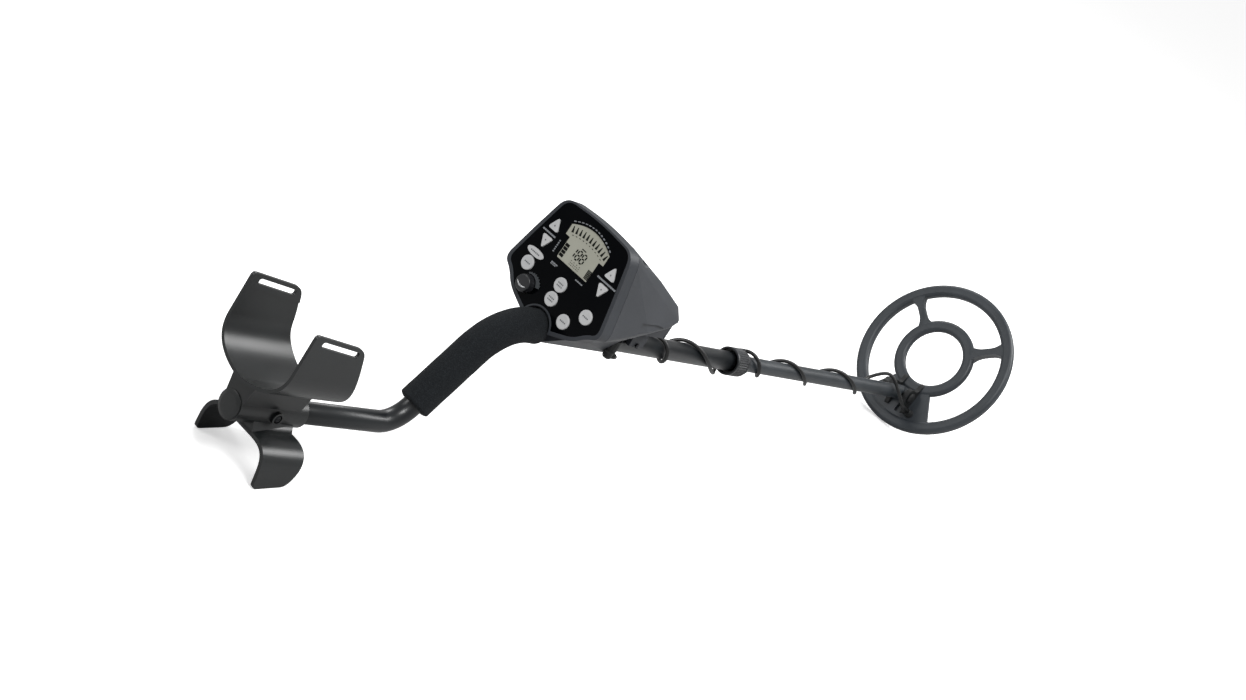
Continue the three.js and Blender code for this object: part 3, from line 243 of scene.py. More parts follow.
def bevel(obj: bpy.types.Object, width: float, segments: int = 3, angle: float = 32.0) -> None:
    """Rounds the edges sharper than an angle, and shades the rest smoothly."""
    obj.data.polygons.foreach_set("use_smooth", np.ones(len(obj.data.polygons), bool))
    mod = obj.modifiers.new("rounded_edges", "BEVEL")
    mod.width, mod.segments = width * MM, segments
    mod.limit_method, mod.angle_limit = "ANGLE", math.radians(angle)
    mod.harden_normals = True
    mod.use_clamp_overlap = True
    obj.modifiers.new("even_normals", "WEIGHTED_NORMAL").keep_sharp = True


def flat_outline(corners: Sequence[Sequence[float]], steps: int = 6) -> np.ndarray:
    """Corners [x, y, rounding], each turned by a quadratic curve of that reach, as points."""
    c = np.array(corners, float)
    corner, before, after = c[:, :2], np.roll(c, 1, 0)[:, :2], np.roll(c, -1, 0)[:, :2]
    db = np.linalg.norm(before - corner, axis=1)
    da = np.linalg.norm(after - corner, axis=1)
    enter = corner + (before - corner) * (np.minimum(c[:, 2], 0.49 * db) / db)[:, None]
    leave = corner + (after - corner) * (np.minimum(c[:, 2], 0.49 * da) / da)[:, None]
    t = np.linspace(0, 1, steps)[None, :, None]
    curve = enter[:, None] * (1 - t) ** 2 + corner[:, None] * 2 * t * (1 - t) + leave[:, None] * t**2
    kept = [row if c[i, 2] > 0 else row[:1] for i, row in enumerate(curve)]
    return np.concatenate(kept)


def offset_corners(corners: Sequence[Sequence[float]], margin: float) -> np.ndarray:
    """The same corners moved outwards: each by margin over the cosine of half its turn."""
    c = np.array(corners, float)
    xy = c[:, :2]
    incoming = xy - np.roll(xy, 1, 0)
    outgoing = np.roll(xy, -1, 0) - xy
    incoming /= np.linalg.norm(incoming, axis=1)[:, None]
    outgoing /= np.linalg.norm(outgoing, axis=1)[:, None]
    n1 = np.stack([incoming[:, 1], -incoming[:, 0]], 1)
    n2 = np.stack([outgoing[:, 1], -outgoing[:, 0]], 1)
    bisector = (n1 + n2) / np.linalg.norm(n1 + n2, axis=1)[:, None]
    shift = margin / (bisector * n1).sum(1)
    return np.column_stack([xy + bisector * shift[:, None], np.maximum(c[:, 2] + margin * 0.6, 0.5)])


def extrude(name: str, outline: np.ndarray, low: float, high: float, axes: Axes,
            along: int = 2) -> bpy.types.Object:
    """An outline carried along one axis of a frame: (y, z) along X, (x, z) along Y or (x, y) along Z."""
    places = {0: (1, 2), 1: (0, 2), 2: (0, 1)}[along]
    n = len(outline)
    pts = np.zeros((2, n, 3))
    pts[..., places[0]] = outline[:, 0]
    pts[..., places[1]] = outline[:, 1]
    pts[0, :, along], pts[1, :, along] = low, high
    faces = [tuple(f) for f in grid_faces(2, n, False, True)]
    faces += [tuple(range(n)), tuple(range(n, 2 * n))]
    return make_object(name, axes.out(pts), faces)


def rod_of(name: str, radius: float, start: Sequence[float], direction: int, length: float, axes: Axes,
           sides: int = 48) -> bpy.types.Object:
    """A plain round bar along an axis of a frame, used to join or to cut."""
    profile = np.array([[0.001, 0], [radius, 0], [radius, length], [0.001, length]])
    return lathe(name, profile, axes, start, direction, sides)


def block(name: str, low: Sequence[float], high: Sequence[float], axes: Axes) -> bpy.types.Object:
    """A box between two corners of a frame."""
    square = np.array([[low[0], low[1]], [high[0], low[1]], [high[0], high[1]], [low[0], high[1]]])
    return extrude(name, square, low[2], high[2], axes)


def hull(name: str, points: np.ndarray, axes: Axes) -> bpy.types.Object:
    """The smallest convex body round some points."""
    import bmesh

    work = bmesh.new()
    for p in axes.out(np.array(points)):
        work.verts.new(p)
    result = bmesh.ops.convex_hull(work, input=work.verts)
    loose = [g for g in result["geom_interior"] + result["geom_unused"] if isinstance(g, bmesh.types.BMVert)]
    bmesh.ops.delete(work, geom=list(set(loose)), context="VERTS")
    bmesh.ops.dissolve_limit(work, angle_limit=0.01, verts=work.verts, edges=work.edges)
    bmesh.ops.recalc_face_normals(work, faces=work.faces)
    mesh = bpy.data.meshes.new(name)
    work.to_mesh(mesh)
    work.free()
    obj = bpy.data.objects.new(name, mesh)
    bpy.context.scene.collection.objects.link(obj)
    return obj


class Op(Enum):
    """How one body works on another."""

    CUT = "DIFFERENCE"
    JOIN = "UNION"
    COMMON = "INTERSECT"


def combine(obj: bpy.types.Object, op: Op, *tools: bpy.types.Object) -> bpy.types.Object:
    """Cuts, joins or crosses a body with others, which are used up."""
    for tool in tools:
        mod = obj.modifiers.new("work", "BOOLEAN")
        mod.operation, mod.object, mod.solver = op.value, tool, "EXACT"
    bpy.context.view_layer.update()
    dg = bpy.context.evaluated_depsgraph_get()
    mesh = bpy.data.meshes.new_from_object(obj.evaluated_get(dg))
    old = obj.data
    obj.modifiers.clear()
    obj.data = mesh
    bpy.data.meshes.remove(old)
    for tool in tools:
        data = tool.data
        bpy.data.objects.remove(tool)
        bpy.data.meshes.remove(data)
    return obj


def soften(obj: bpy.types.Object, width: float, segments: int = 3, angle: float = 32.0,
           flat: bool = True) -> bpy.types.Object:
    """Merges doubles, and flat faces where asked, left by the joins, then rounds the edges."""
    import bmesh

    work = bmesh.new()
    work.from_mesh(obj.data)
    bmesh.ops.remove_doubles(work, verts=work.verts, dist=2e-6)
    if flat:
        bmesh.ops.dissolve_limit(work, angle_limit=0.005, verts=work.verts, edges=work.edges)
    work.to_mesh(obj.data)
    work.free()
    bevel(obj, width, segments, angle)
    return obj


def centripetal(points: np.ndarray, count: int) -> np.ndarray:
    """A Catmull-Rom curve with knots spaced by the square root of the distance, at even parameters."""
    p = np.array(points, float)
    p = np.vstack([2 * p[0] - p[1], p, 2 * p[-1] - p[-2]])
    t = np.linspace(0, len(p) - 3, count, endpoint=True)
    i = np.minimum(t.astype(int), len(p) - 4)
    w = (t - i)[:, None]
    p0, p1, p2, p3 = p[i], p[i + 1], p[i + 2], p[i + 3]
    d = [np.maximum(np.sum((b - a) ** 2, 1) ** 0.25, 1e-4)[:, None] for a, b in ((p0, p1), (p1, p2), (p2, p3))]
    t1 = ((p1 - p0) / d[0] - (p2 - p0) / (d[0] + d[1]) + (p2 - p1) / d[1]) * d[1]
    t2 = ((p2 - p1) / d[1] - (p3 - p1) / (d[1] + d[2]) + (p3 - p2) / d[2]) * d[1]
    a = 2 * p1 - 2 * p2 + t1 + t2
    b = -3 * p1 + 3 * p2 - 2 * t1 - t2
    return a * w**3 + b * w**2 + t1 * w + p1


# ------------------------------------------------------------------ finishes
def linear(code: str) -> tuple[float, float, float, float]:
    """A hexadecimal screen colour as linear light, ((c + 0.055) / 1.055) ** 2.4."""
    c = np.array([int(code[i:i + 2], 16) / 255 for i in (0, 2, 4)])
    lin = np.where(c <= 0.04045, c / 12.92, ((c + 0.055) / 1.055) ** 2.4)
    return (*map(float, lin), 1.0)


class Pattern(Enum):
    """What runs over a surface."""

    GRAIN = "fine grain"
    SPECKLE = "foam speckle"


def grain_group() -> bpy.types.ShaderNodeTree:
    """Moulding grain: two noises of one scale shift colour, roughness and height."""
    tree = bpy.data.node_groups.new("moulding_grain", "ShaderNodeTree")
    face = tree.interface
    for name, kind in (("Colour", "NodeSocketColor"), ("Worn Colour", "NodeSocketColor"),
                       ("Scale", "NodeSocketFloat"), ("Roughness", "NodeSocketFloat"),
                       ("Spread", "NodeSocketFloat")):
        face.new_socket(name, in_out="INPUT", socket_type=kind)
    for name, kind in (("Colour", "NodeSocketColor"), ("Roughness", "NodeSocketFloat"),
                       ("Height", "NodeSocketFloat")):
        face.new_socket(name, in_out="OUTPUT", socket_type=kind)
    n, link = tree.nodes, tree.links.new
    ins, outs, at = n.new("NodeGroupInput"), n.new("NodeGroupOutput"), n.new("ShaderNodeTexCoord")
    fine, broad = n.new("ShaderNodeTexNoise"), n.new("ShaderNodeTexNoise")
    fine.inputs["Detail"].default_value, broad.inputs["Detail"].default_value = 3.0, 4.0
    broad.inputs["Scale"].default_value = 22.0
    link(at.outputs["Object"], fine.inputs["Vector"])
    link(at.outputs["Object"], broad.inputs["Vector"])
    link(ins.outputs["Scale"], fine.inputs["Scale"])
    spread = n.new("ShaderNodeMapRange")
    spread.inputs["From Min"].default_value, spread.inputs["From Max"].default_value = 0.42, 0.68
    link(broad.outputs["Fac"], spread.inputs["Value"])
    mix = n.new("ShaderNodeMix")
    mix.data_type = "RGBA"
    link(spread.outputs["Result"], mix.inputs["Factor"])
    link(ins.outputs["Colour"], mix.inputs["A"])
    link(ins.outputs["Worn Colour"], mix.inputs["B"])
    shift = n.new("ShaderNodeMath")
    shift.operation = "MULTIPLY_ADD"
    centre = n.new("ShaderNodeMath")
    centre.operation = "SUBTRACT"
    centre.inputs[1].default_value = 0.5
    link(broad.outputs["Fac"], centre.inputs[0])
    link(centre.outputs[0], shift.inputs[0])
    link(ins.outputs["Spread"], shift.inputs[1])
    link(ins.outputs["Roughness"], shift.inputs[2])
    link(mix.outputs["Result"], outs.inputs["Colour"])
    link(shift.outputs[0], outs.inputs["Roughness"])
    link(fine.outputs["Fac"], outs.inputs["Height"])
    return tree


def speckle_group() -> bpy.types.ShaderNodeTree:
    """Closed-cell foam: small cells give light and dark specks and a pitted height."""
    tree = bpy.data.node_groups.new("foam_speckle", "ShaderNodeTree")
    face = tree.interface
    for name, kind in (("Colour", "NodeSocketColor"), ("Worn Colour", "NodeSocketColor"),
                       ("Scale", "NodeSocketFloat"), ("Roughness", "NodeSocketFloat"),
                       ("Spread", "NodeSocketFloat")):
        face.new_socket(name, in_out="INPUT", socket_type=kind)
    for name, kind in (("Colour", "NodeSocketColor"), ("Roughness", "NodeSocketFloat"),
                       ("Height", "NodeSocketFloat")):
        face.new_socket(name, in_out="OUTPUT", socket_type=kind)
    n, link = tree.nodes, tree.links.new
    ins, outs, at = n.new("NodeGroupInput"), n.new("NodeGroupOutput"), n.new("ShaderNodeTexCoord")
    cells, noise = n.new("ShaderNodeTexVoronoi"), n.new("ShaderNodeTexNoise")
    noise.inputs["Detail"].default_value = 5.0
    link(at.outputs["Object"], cells.inputs["Vector"])
    link(at.outputs["Object"], noise.inputs["Vector"])
    link(ins.outputs["Scale"], cells.inputs["Scale"])
    link(ins.outputs["Scale"], noise.inputs["Scale"])
    ramp = n.new("ShaderNodeMapRange")
    ramp.inputs["From Min"].default_value, ramp.inputs["From Max"].default_value = 0.46, 0.66
    link(noise.outputs["Fac"], ramp.inputs["Value"])
    mix = n.new("ShaderNodeMix")
    mix.data_type = "RGBA"
    link(ramp.outputs["Result"], mix.inputs["Factor"])
    link(ins.outputs["Colour"], mix.inputs["A"])
    link(ins.outputs["Worn Colour"], mix.inputs["B"])
    shift = n.new("ShaderNodeMath")
    shift.operation = "MULTIPLY_ADD"
    link(noise.outputs["Fac"], shift.inputs[0])
    link(ins.outputs["Spread"], shift.inputs[1])
    link(ins.outputs["Roughness"], shift.inputs[2])
    link(mix.outputs["Result"], outs.inputs["Colour"])
    link(shift.outputs[0], outs.inputs["Roughness"])
    link(cells.outputs["Distance"], outs.inputs["Height"])
    return tree


@dataclass(frozen=True)
class Finish:
    """One material: colours, gloss, and the grain that runs over it."""

    name: str
    slot: str
    color: str
    worn: str
    roughness: float
    spread: float = 0.12
    metallic: float = 0.0
    coat: float = 0.0
    scale: float = 900.0
    bump: float = 0.15
    depth: float = 0.0002
    specular: float = 0.5
    pattern: Pattern = Pattern.GRAIN

    def material(self) -> bpy.types.Material:
        """The material, made once and kept."""
        label = self.name + "_finish"
        found = bpy.data.materials.get(label)
        if found:
            return found
        mat = bpy.data.materials.new(label)
        mat.use_nodes = True
        tree = mat.node_tree
        shader = next(n for n in tree.nodes if n.type == "BSDF_PRINCIPLED")
        shader.inputs["Metallic"].default_value = self.metallic
        shader.inputs["Coat Weight"].default_value = self.coat
        shader.inputs["Coat Roughness"].default_value = 0.12
        shader.inputs["Specular IOR Level"].default_value = self.specular
        maker = {Pattern.GRAIN: ("moulding_grain", grain_group), Pattern.SPECKLE: ("foam_speckle", speckle_group)}
        key, make = maker[self.pattern]
        group = tree.nodes.new("ShaderNodeGroup")
        group.node_tree = bpy.data.node_groups.get(key) or make()
        group.inputs["Colour"].default_value = linear(self.color)
        group.inputs["Worn Colour"].default_value = linear(self.worn)
        group.inputs["Scale"].default_value = self.scale
        group.inputs["Roughness"].default_value = self.roughness
        group.inputs["Spread"].default_value = self.spread
        bump = tree.nodes.new("ShaderNodeBump")
        bump.inputs["Strength"].default_value = self.bump
        bump.inputs["Distance"].default_value = self.depth
        tree.links.new(group.outputs["Colour"], shader.inputs["Base Color"])
        tree.links.new(group.outputs["Roughness"], shader.inputs["Roughness"])
        tree.links.new(group.outputs["Height"], bump.inputs["Height"])
        tree.links.new(bump.outputs["Normal"], shader.inputs["Normal"])
        return mat

    def dress(self, obj: bpy.types.Object) -> bpy.types.Object:
        """Puts the material on a piece."""
        obj.data.materials.clear()
        obj.data.materials.append(self.material())
        return obj


ROD_COAT = Finish("rod_satin_coat", "rod_coat", "111417", "171b1e", 0.33, 0.12, scale=1400, bump=0.06, specular=0.5)
FOAM = Finish("speckled_foam", "eva_foam", "15181b", "25292c", 0.88, 0.1, scale=900, bump=0.7, depth=0.0006,
              specular=0.25, pattern=Pattern.SPECKLE)
ARM = Finish("armrest_plastic", "armrest_plastic", "101314", "15191a", 0.36, 0.1, scale=1100, bump=0.05, specular=0.55)
HOUSING = Finish("housing_plastic", "housing_plastic", "2e3136", "33363b", 0.5, 0.1, scale=1500, bump=0.15,
                 specular=0.4)
PANEL = Finish("panel_gloss", "panel_gloss", "020305", "040507", 0.16, 0.05, scale=600, bump=0.01, specular=0.08)
KEY = Finish("key_rubber", "key_rubber", "bcbdbe", "c4c4c4", 0.5, 0.08, scale=1600, bump=0.1, specular=0.3)
LCD = Finish("lcd_glass", "lcd_glass", "a2a296", "a8a89c", 0.24, 0.04, scale=500, bump=0.005, specular=0.25)
SEGMENT = Finish("lcd_segment", "lcd_glass", "070806", "0b0c0a", 0.4, 0.05, scale=500, bump=0.01, specular=0.1)
PRINT = Finish("panel_print", "panel_gloss", "85888c", "8f9296", 0.5, 0.1, scale=900, bump=0.05, specular=0.2)
DIM_PRINT = Finish("panel_print_dim", "panel_gloss", "44474a", "4c4f52", 0.4, 0.1, scale=900, bump=0.05, specular=0.3)
# Near-white colour of the knob's crescent, which is a painted highlight and not a mark on the knob.
PAINTED_HIGHLIGHT = Finish("knob_painted_highlight", "black_rubber", "e2e4e6", "eceded", 0.3, 0.1, scale=900, bump=0.02, specular=0.4)
LEGEND = Finish("key_legend", "key_rubber", "4a4d52", "55585c", 0.5, 0.1, scale=900, bump=0.05, specular=0.2)
RUBBER = Finish("black_rubber", "black_rubber", "101213", "17191a", 0.55, 0.1, scale=1100, bump=0.2, specular=0.45)
KNOB = Finish("knob_plastic", "black_rubber", "1c1d20", "242629", 0.34, 0.1, scale=1100, bump=0.1, specular=0.6)
COLLAR = Finish("collar_plastic", "housing_plastic", "1b1d20", "25282c", 0.42, 0.12, scale=1100, bump=0.15,
                specular=0.5)
STEM_F = Finish("stem_plastic", "stem_plastic", "22272b", "2a2f34", 0.42, 0.12, scale=900, bump=0.1, specular=0.5)
COIL_F = Finish("coil_plastic", "coil_plastic", "292e33", "32373c", 0.45, 0.12, scale=1300, bump=0.15, specular=0.5)
JACKET = Finish("cable_jacket", "cable_jacket", "08090a", "0e0f10", 0.42, 0.1, scale=1200, bump=0.1, specular=0.45)
BLACK_STEEL = Finish("blackened_steel", "steel", "202225", "2a2c30", 0.36, 0.12, metallic=0.7, scale=1500, bump=0.05)
COPPER = Finish("lacquered_copper", "copper", "a2653a", "8c5431", 0.34, 0.15, metallic=1.0, scale=1500, bump=0.05)
BOARD = Finish("board_green", "board", "1f4a33", "255a3d", 0.5, 0.1, coat=0.2, scale=700, bump=0.05)
MODULE = Finish("module_black", "module", "15171a", "1c1e22", 0.5, 0.1, scale=900, bump=0.08)
CELL = Finish("cell_case", "cell", "585b60", "4d5055", 0.4, 0.12, metallic=0.4, scale=900, bump=0.05)


def place(obj: bpy.types.Object, finish: Finish, body: str, *nodes: str) -> bpy.types.Object:
    """Dresses a piece, makes it ride on its body and stand for the nodes it replaces."""
    finish.dress(obj)
    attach(obj, body)
    if nodes:
        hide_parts(*nodes)
    LOG.info("%s: %d faces on %s", obj.name, len(obj.data.polygons), body)
    return obj


# ------------------------------------------------------------------ rod and grip
def rod_centreline(step: float = 2.5) -> tuple[np.ndarray, float]:
    """The S of the rod: straight, arc, slope, arc, straight, with points every few degrees.

    Returns:
        points in the rod frame, and the slope's angle.
    """
    slope = math.atan2(S.rise, S.run)
    count = max(4, int(math.degrees(slope) / step))
    angle = np.linspace(0, slope, count + 1)
    first, second = S.rear_bend * math.tan(slope / 2), S.front_bend * math.tan(slope / 2)
    lower = np.stack([-first + S.rear_bend * np.sin(angle), 0 * angle, S.rear_bend * (1 - np.cos(angle))], 1)
    upper = np.stack([S.run + second - S.front_bend * np.sin(angle), 0 * angle,
                      S.rise - S.front_bend * (1 - np.cos(angle))], 1)[::-1]
    ends = [np.array([[S.rod_rear, 0, 0]]), np.array([[S.rod_front, 0, S.rise]])]
    between = lower[-1] + (upper[0] - lower[-1]) * np.linspace(0, 1, 8)[1:-1, None]
    return np.concatenate([ends[0], lower, between, upper, ends[1]]), slope


@dataclass
class Rod:
    """The bent tube and its foam grip."""

    sides: int = 48
    foam_steps: int = 150
    foam_lip: float = 3.2

    def tube(self) -> None:
        """The coated tube with its bore open at both ends."""
        path, _ = rod_centreline()
        across = np.tile([0.0, 1.0, 0.0], (len(path), 1))
        inner = S.rod_radius - S.rod_wall
        obj = tube("rod_tube", path, across, np.full(len(path), S.rod_radius), ROD, self.sides, inner)
        place(obj, ROD_COAT, "main", "s_rod")

    def foam(self) -> None:
        """The grip: radius falls to the rod over a short rounded lip at each end,
        r = rod + (grip - rod) * sqrt(1 - (1 - t)^2), with shallow finger-worn waves between."""
        path, slope = rod_centreline(1.0)
        start = np.array([S.grip_start * math.cos(slope), 0, S.grip_start * math.sin(slope)])
        end = np.array([S.grip_end, 0, S.rise])
        inside = path[(path[:, 2] > start[2] + 1) & (path[:, 0] < end[0] - 1)]
        knots = np.vstack([start, inside, end])
        run = np.concatenate([[0], np.cumsum(np.linalg.norm(np.diff(knots, axis=0), axis=1))])
        at = np.linspace(0, run[-1], self.foam_steps)
        line = np.stack([np.interp(at, run, knots[:, k]) for k in range(3)], 1)
        edge = np.minimum(at, run[-1] - at) / self.foam_lip
        lip = np.sqrt(np.clip(1 - (1 - np.clip(edge, 0, 1)) ** 2, 0, 1))
        bore = S.rod_radius + 0.2
        radius = bore + (S.grip_radius - bore) * np.maximum(lip, 0.35) + 0.12 * np.sin(at * 0.19)
        radius = np.minimum(radius, S.grip_radius)
        across = np.tile([0.0, 1.0, 0.0], (len(line), 1))
        obj = tube("grip_foam", line, across, radius, ROD, 64, bore)
        place(obj, FOAM, "main", "foam_grip")

    def build(self) -> None:
        """Both pieces."""
        self.tube()
        self.foam()


# ------------------------------------------------------------------ armrest
@dataclass
class Armrest:
    """The moulded cup on its sleeve, with the two stand legs, bolt and end cap."""

    rear: float = -234.5
    half_width: float = 51.5
    wall: float = 3.5
    bottom: float = 26.0
    shoulder: float = 66.0
    top: float = 112.0
    sleeve: float = 15.0
    sleeve_rear: float = -228.0
    sleeve_front: float = -138.0
    bolt_at: float = -179.0
    boss: float = 6.5
    leg_half: float = 48.0
    leg_wall: float = 4.2
    foot_at: float = -180.0
    foot_drop: float = 55.5

    def u_line(self, inset: float) -> np.ndarray:
        """Half the cup's section as (y, z): two cubic curves and a straight side, mirrored."""
        w, b = self.half_width - inset, self.bottom + inset
        t = np.linspace(0, 1, 26)[:, None]
        p0, p1, p2, p3 = (np.array(v) for v in ((0, b), (w * 0.58, b + 4), (w, b + 14 - inset * 0.3),
                                                (w, self.shoulder)))
        curve = (1 - t) ** 3 * p0 + 3 * (1 - t) ** 2 * t * p1 + 3 * (1 - t) * t**2 * p2 + t**3 * p3
        right = np.vstack([curve, [[w, self.top]]])
        left = right[::-1] * [-1, 1]
        return np.vstack([left[:-1], right])

    def band(self, outer: float, inner: float) -> np.ndarray:
        """A closed band between two insets of the cup's section."""
        return np.vstack([self.u_line(outer), self.u_line(inner)[::-1]])

    def side_view(self, inset: float = 0.0) -> np.ndarray:
        """The cup seen from the side as (x, z): upright rear, falling top, raked front."""
        r, k = self.rear, inset
        return flat_outline([
            [r + k, 15 + 2 * k, 0.01], [r + 98 - 1.3 * k, 15 + 2 * k, 0.01], [r + 93.5 - 1.2 * k, 40, 6],
            [r + 87.5 - 1.2 * k, 55, 10], [r + 82.5 - 1.2 * k, 74, 10], [r + 70 - 1.2 * k, 103.5 - k, 10],
            [r + k, 111 - k, 5]], 8)

    def leg_section(self) -> np.ndarray:
        """The inverted U of the legs as (y, z), two parallel cubic curves."""
        w, h, knee, top, low = self.leg_half, self.leg_wall, -46.0, -16.0, -85.0
        t = np.linspace(0, 1, 14)[:, None]

        def side(width: float, rise: float, lift: float, reach: float) -> np.ndarray:
            """One wall line from the foot up to the flat top."""
            a, b, c, d = (np.array(v) for v in ((width, knee), (width - 0.5, knee + rise),
                                                (width - reach, lift), (18, lift)))
            return (1 - t) ** 3 * a + 3 * (1 - t) ** 2 * t * b + 3 * (1 - t) * t**2 * c + t**3 * d

        outer = np.vstack([[[w + 2, low]], side(w, 23, top, 9)])
        inner = np.vstack([[[w + 2 - h, low]], side(w - h, 21, top - h, 8)])
        return np.vstack([outer, outer[::-1] * [-1, 1], inner * [-1, 1], inner[::-1]])

    def leg_side(self) -> np.ndarray:
        """The legs seen from the side as (x, z), their soles along the ground."""
        pitch = math.atan2(-ROD.matrix[2, 0], ROD.matrix[0, 0])
        rear, front = -202.0, -149.0

        def ground(x: float) -> float:
            """Height of the ground under x, in the rod frame."""
            return -self.foot_drop + (x - self.foot_at) * math.tan(pitch)

        return flat_outline([
            [rear + 4, ground(rear + 4), 5], [front - 8, ground(front - 8), 8], [front, -36, 10],
            [front + 5, -8, 0.01], [rear, -8, 0.01], [rear, -34, 10]], 7)

    def slot_outline(self) -> np.ndarray:
        """The strap slot as (x, z), parallel to the falling top edge, its ends round."""
        fall = (103.5 - 111) / 70
        x = np.array([-223.0, -170.0])
        z = 111 + fall * (x - self.rear) - 7
        return flat_outline([[x[0], z[0] - 3, 3], [x[1], z[1] - 3, 3], [x[1], z[1] + 3, 3], [x[0], z[0] + 3, 3]], 6)

    def build(self) -> None:
        """Cup, bridge, sleeve, legs, boss; then bores, slots and the shallow panel inside the cup."""
        x = self.bolt_at
        body = extrude("armrest_body", self.band(0, self.wall), self.rear, self.rear + 98, ROD, 0)
        combine(body, Op.COMMON, extrude("w", self.side_view(), -60, 60, ROD, 1))
        bridge_line = np.array([[-12, 4], [12, 4], [17, 30], [0, 27.5], [-17, 30]], float)
        legs = extrude("w2", self.leg_section(), -208, -143, ROD, 0)
        combine(legs, Op.COMMON, extrude("w3", self.leg_side(), -60, 60, ROD, 1))
        web = np.array([[-19, -18], [19, -18], [12, -6], [-12, -6]], float)
        combine(body, Op.JOIN,
                extrude("w4", bridge_line, self.sleeve_rear, -150, ROD, 0),
                rod_of("w5", self.sleeve, (self.sleeve_rear, 0, 0), 0, self.sleeve_front - self.sleeve_rear, ROD, 72),
                legs, extrude("w6", web, -202, -149, ROD, 0),
                rod_of("w7", self.boss, (x, -18, 0), 1, 36, ROD, 40))
        panel = extrude("w8", self.band(self.wall - 1.3, self.wall + 8), self.rear + 4, self.rear + 112, ROD, 0)
        combine(panel, Op.COMMON, extrude("w9", flat_outline([
            [self.rear + 4.5, 10, 0.01], [self.rear + 110, 10, 0.01], [self.rear + 110, 84.5, 0.01],
            [self.rear + 72, 88, 0.01], [self.rear + 4.5, 95.5, 6]], 8), -60, 60, ROD, 1))
        combine(body, Op.CUT, rod_of("w10", S.rod_radius + 0.15, (-240, 0, 0), 0, 110, ROD, 64), panel,
                rod_of("w11", 4.6, (x, -19, 0), 1, 3.8, ROD, 32), rod_of("w12", 4.6, (x, 15.2, 0), 1, 4, ROD, 32),
                rod_of("w13", 2.5, (x, -30, 0), 1, 60, ROD, 24),
                extrude("w14", self.slot_outline(), -70, 70, ROD, 1))
        soften(body, 0.45, 3)
        place(body, ARM, "main", "armrest")
        self.fixings()

    def fixings(self) -> None:
        """The cross bolt's slotted head and shank, and the plug in the sleeve's end."""
        cap = lathe("sleeve_plug", rounded([[0.01, -2], [10, -1.8], [13.8, -0.6], [13.8, 0], [11, 0], [11, 5.4],
                                            [0.01, 5.4]], 0.8), ROD, (self.sleeve_rear - 0.3, 0, 0), 0)
        place(cap, ARM, "main", "sleeve_end_cap")
        head = lathe("bolt_head", rounded([[0.01, 0], [2.6, 0.05], [4, 0.9], [4, 2.5], [2.2, 2.5], [2.2, 35],
                                           [0.01, 35]], 0.4), ROD, (self.bolt_at, -18, 0), 1, 40)
        slot = block("w15", (self.bolt_at - 3, -18.6, -0.5), (self.bolt_at + 3, -17.2, 0.5), ROD)
        place(soften(combine(head, Op.CUT, slot), 0.12, 2), BLACK_STEEL, "main", "armrest_screw")


# ------------------------------------------------------------------ control housing
def panel_corners() -> list[list[float]]:
    """The black panel's corners [a, b, rounding]: right side, crown, and the right side mirrored."""
    right = [[20, -76, 0], [47, -65, 9], [59, -52.8, 5], [70.3, -46.8, 8], [62.6, -15, 20], [57, 6, 20],
             [48.6, 37.6, 11]]
    left = [[-a, b, r] for a, b, r in right[::-1]]
    return right + [[0, 41.5, 40]] + left


def face_outline(margin: float, steps: int = 9) -> np.ndarray:
    """The panel's outline moved outwards by a margin, a little less along its top."""
    corners = offset_corners(panel_corners(), margin)
    drop = 2.0 * margin / 4.2 if margin > 0 else 0.0
    corners[:, 1] -= np.where(corners[:, 1] > 30, drop, 0)
    return flat_outline(corners, steps)


def display_outline(margin: float, steps: int = 26) -> np.ndarray:
    """The window: a narrow foot, a step out to each side, and a parabola over the top."""
    half, low, step, wide, shoulder, crown = 23, -14, 9.5, 29.3, 21.5, 30
    m = margin
    t = np.linspace(0, 1, steps)[:, None]
    a, b, c = np.array([wide + m, shoulder + m]), np.array([0, 2 * crown - shoulder + m]), np.array(
        [-wide - m, shoulder + m])
    arc = (1 - t) ** 2 * a + 2 * t * (1 - t) * b + t**2 * c
    foot = [[-half - m, low - m], [half + m, low - m], [half + m, step - m], [wide + m, step - m]]
    return np.vstack([foot, arc, [[-wide - m, step - m], [-half - m, step - m]]])


def arc_height(a: np.ndarray) -> np.ndarray:
    """Height of the window's top edge over a: shoulder + (crown - shoulder) * (1 - (a / wide)^2)."""
    return 21.5 + 8.5 * (1 - (np.asarray(a) / 29.3) ** 2)


def channel(name: str, radius: float) -> bpy.types.Object:
    """A bar along the rod, to clear it."""
    return rod_of(name, radius, (60, 0, S.rise), 0, 245, ROD, 72)


def peg(name: str, radius: float, at: Sequence[float], low: float, high: float) -> bpy.types.Object:
    """A round bar that stands on the face."""
    return rod_of(name, radius, (at[0], at[1], low), 2, high - low, FACE, 48)


ROUND_KEYS = {"key_menu": (-47.4, -38.6), "key_upper": (0.7, -33.2), "key_lower": (0.7, -50.2),
              "key_left": (27.6, -59.4), "key_right": (46.9, -40.4)}
DIAL = (-33.1, -55.4)


def arrow_corners(a: float, b: float, up: int) -> list[list[float]]:
    """A triangle with its base away from the way it points."""
    w, h = 14.5, 14.3
    corners = [[a - w / 2, b - up * h * 0.36, 3.4], [a + w / 2, b - up * h * 0.36, 3.4], [a, b + up * h * 0.64, 3.4]]
    return corners if up > 0 else corners[::-1]


SHAPED_KEYS = {
    "key_up_left": arrow_corners(-44, 9, 1), "key_up_right": arrow_corners(44, 9, 1),
    "key_down_left": arrow_corners(-44, -9, -1), "key_down_right": arrow_corners(44, -9, -1),
}
OVAL = (-46.0, -25.4, 11.5, 4.1)


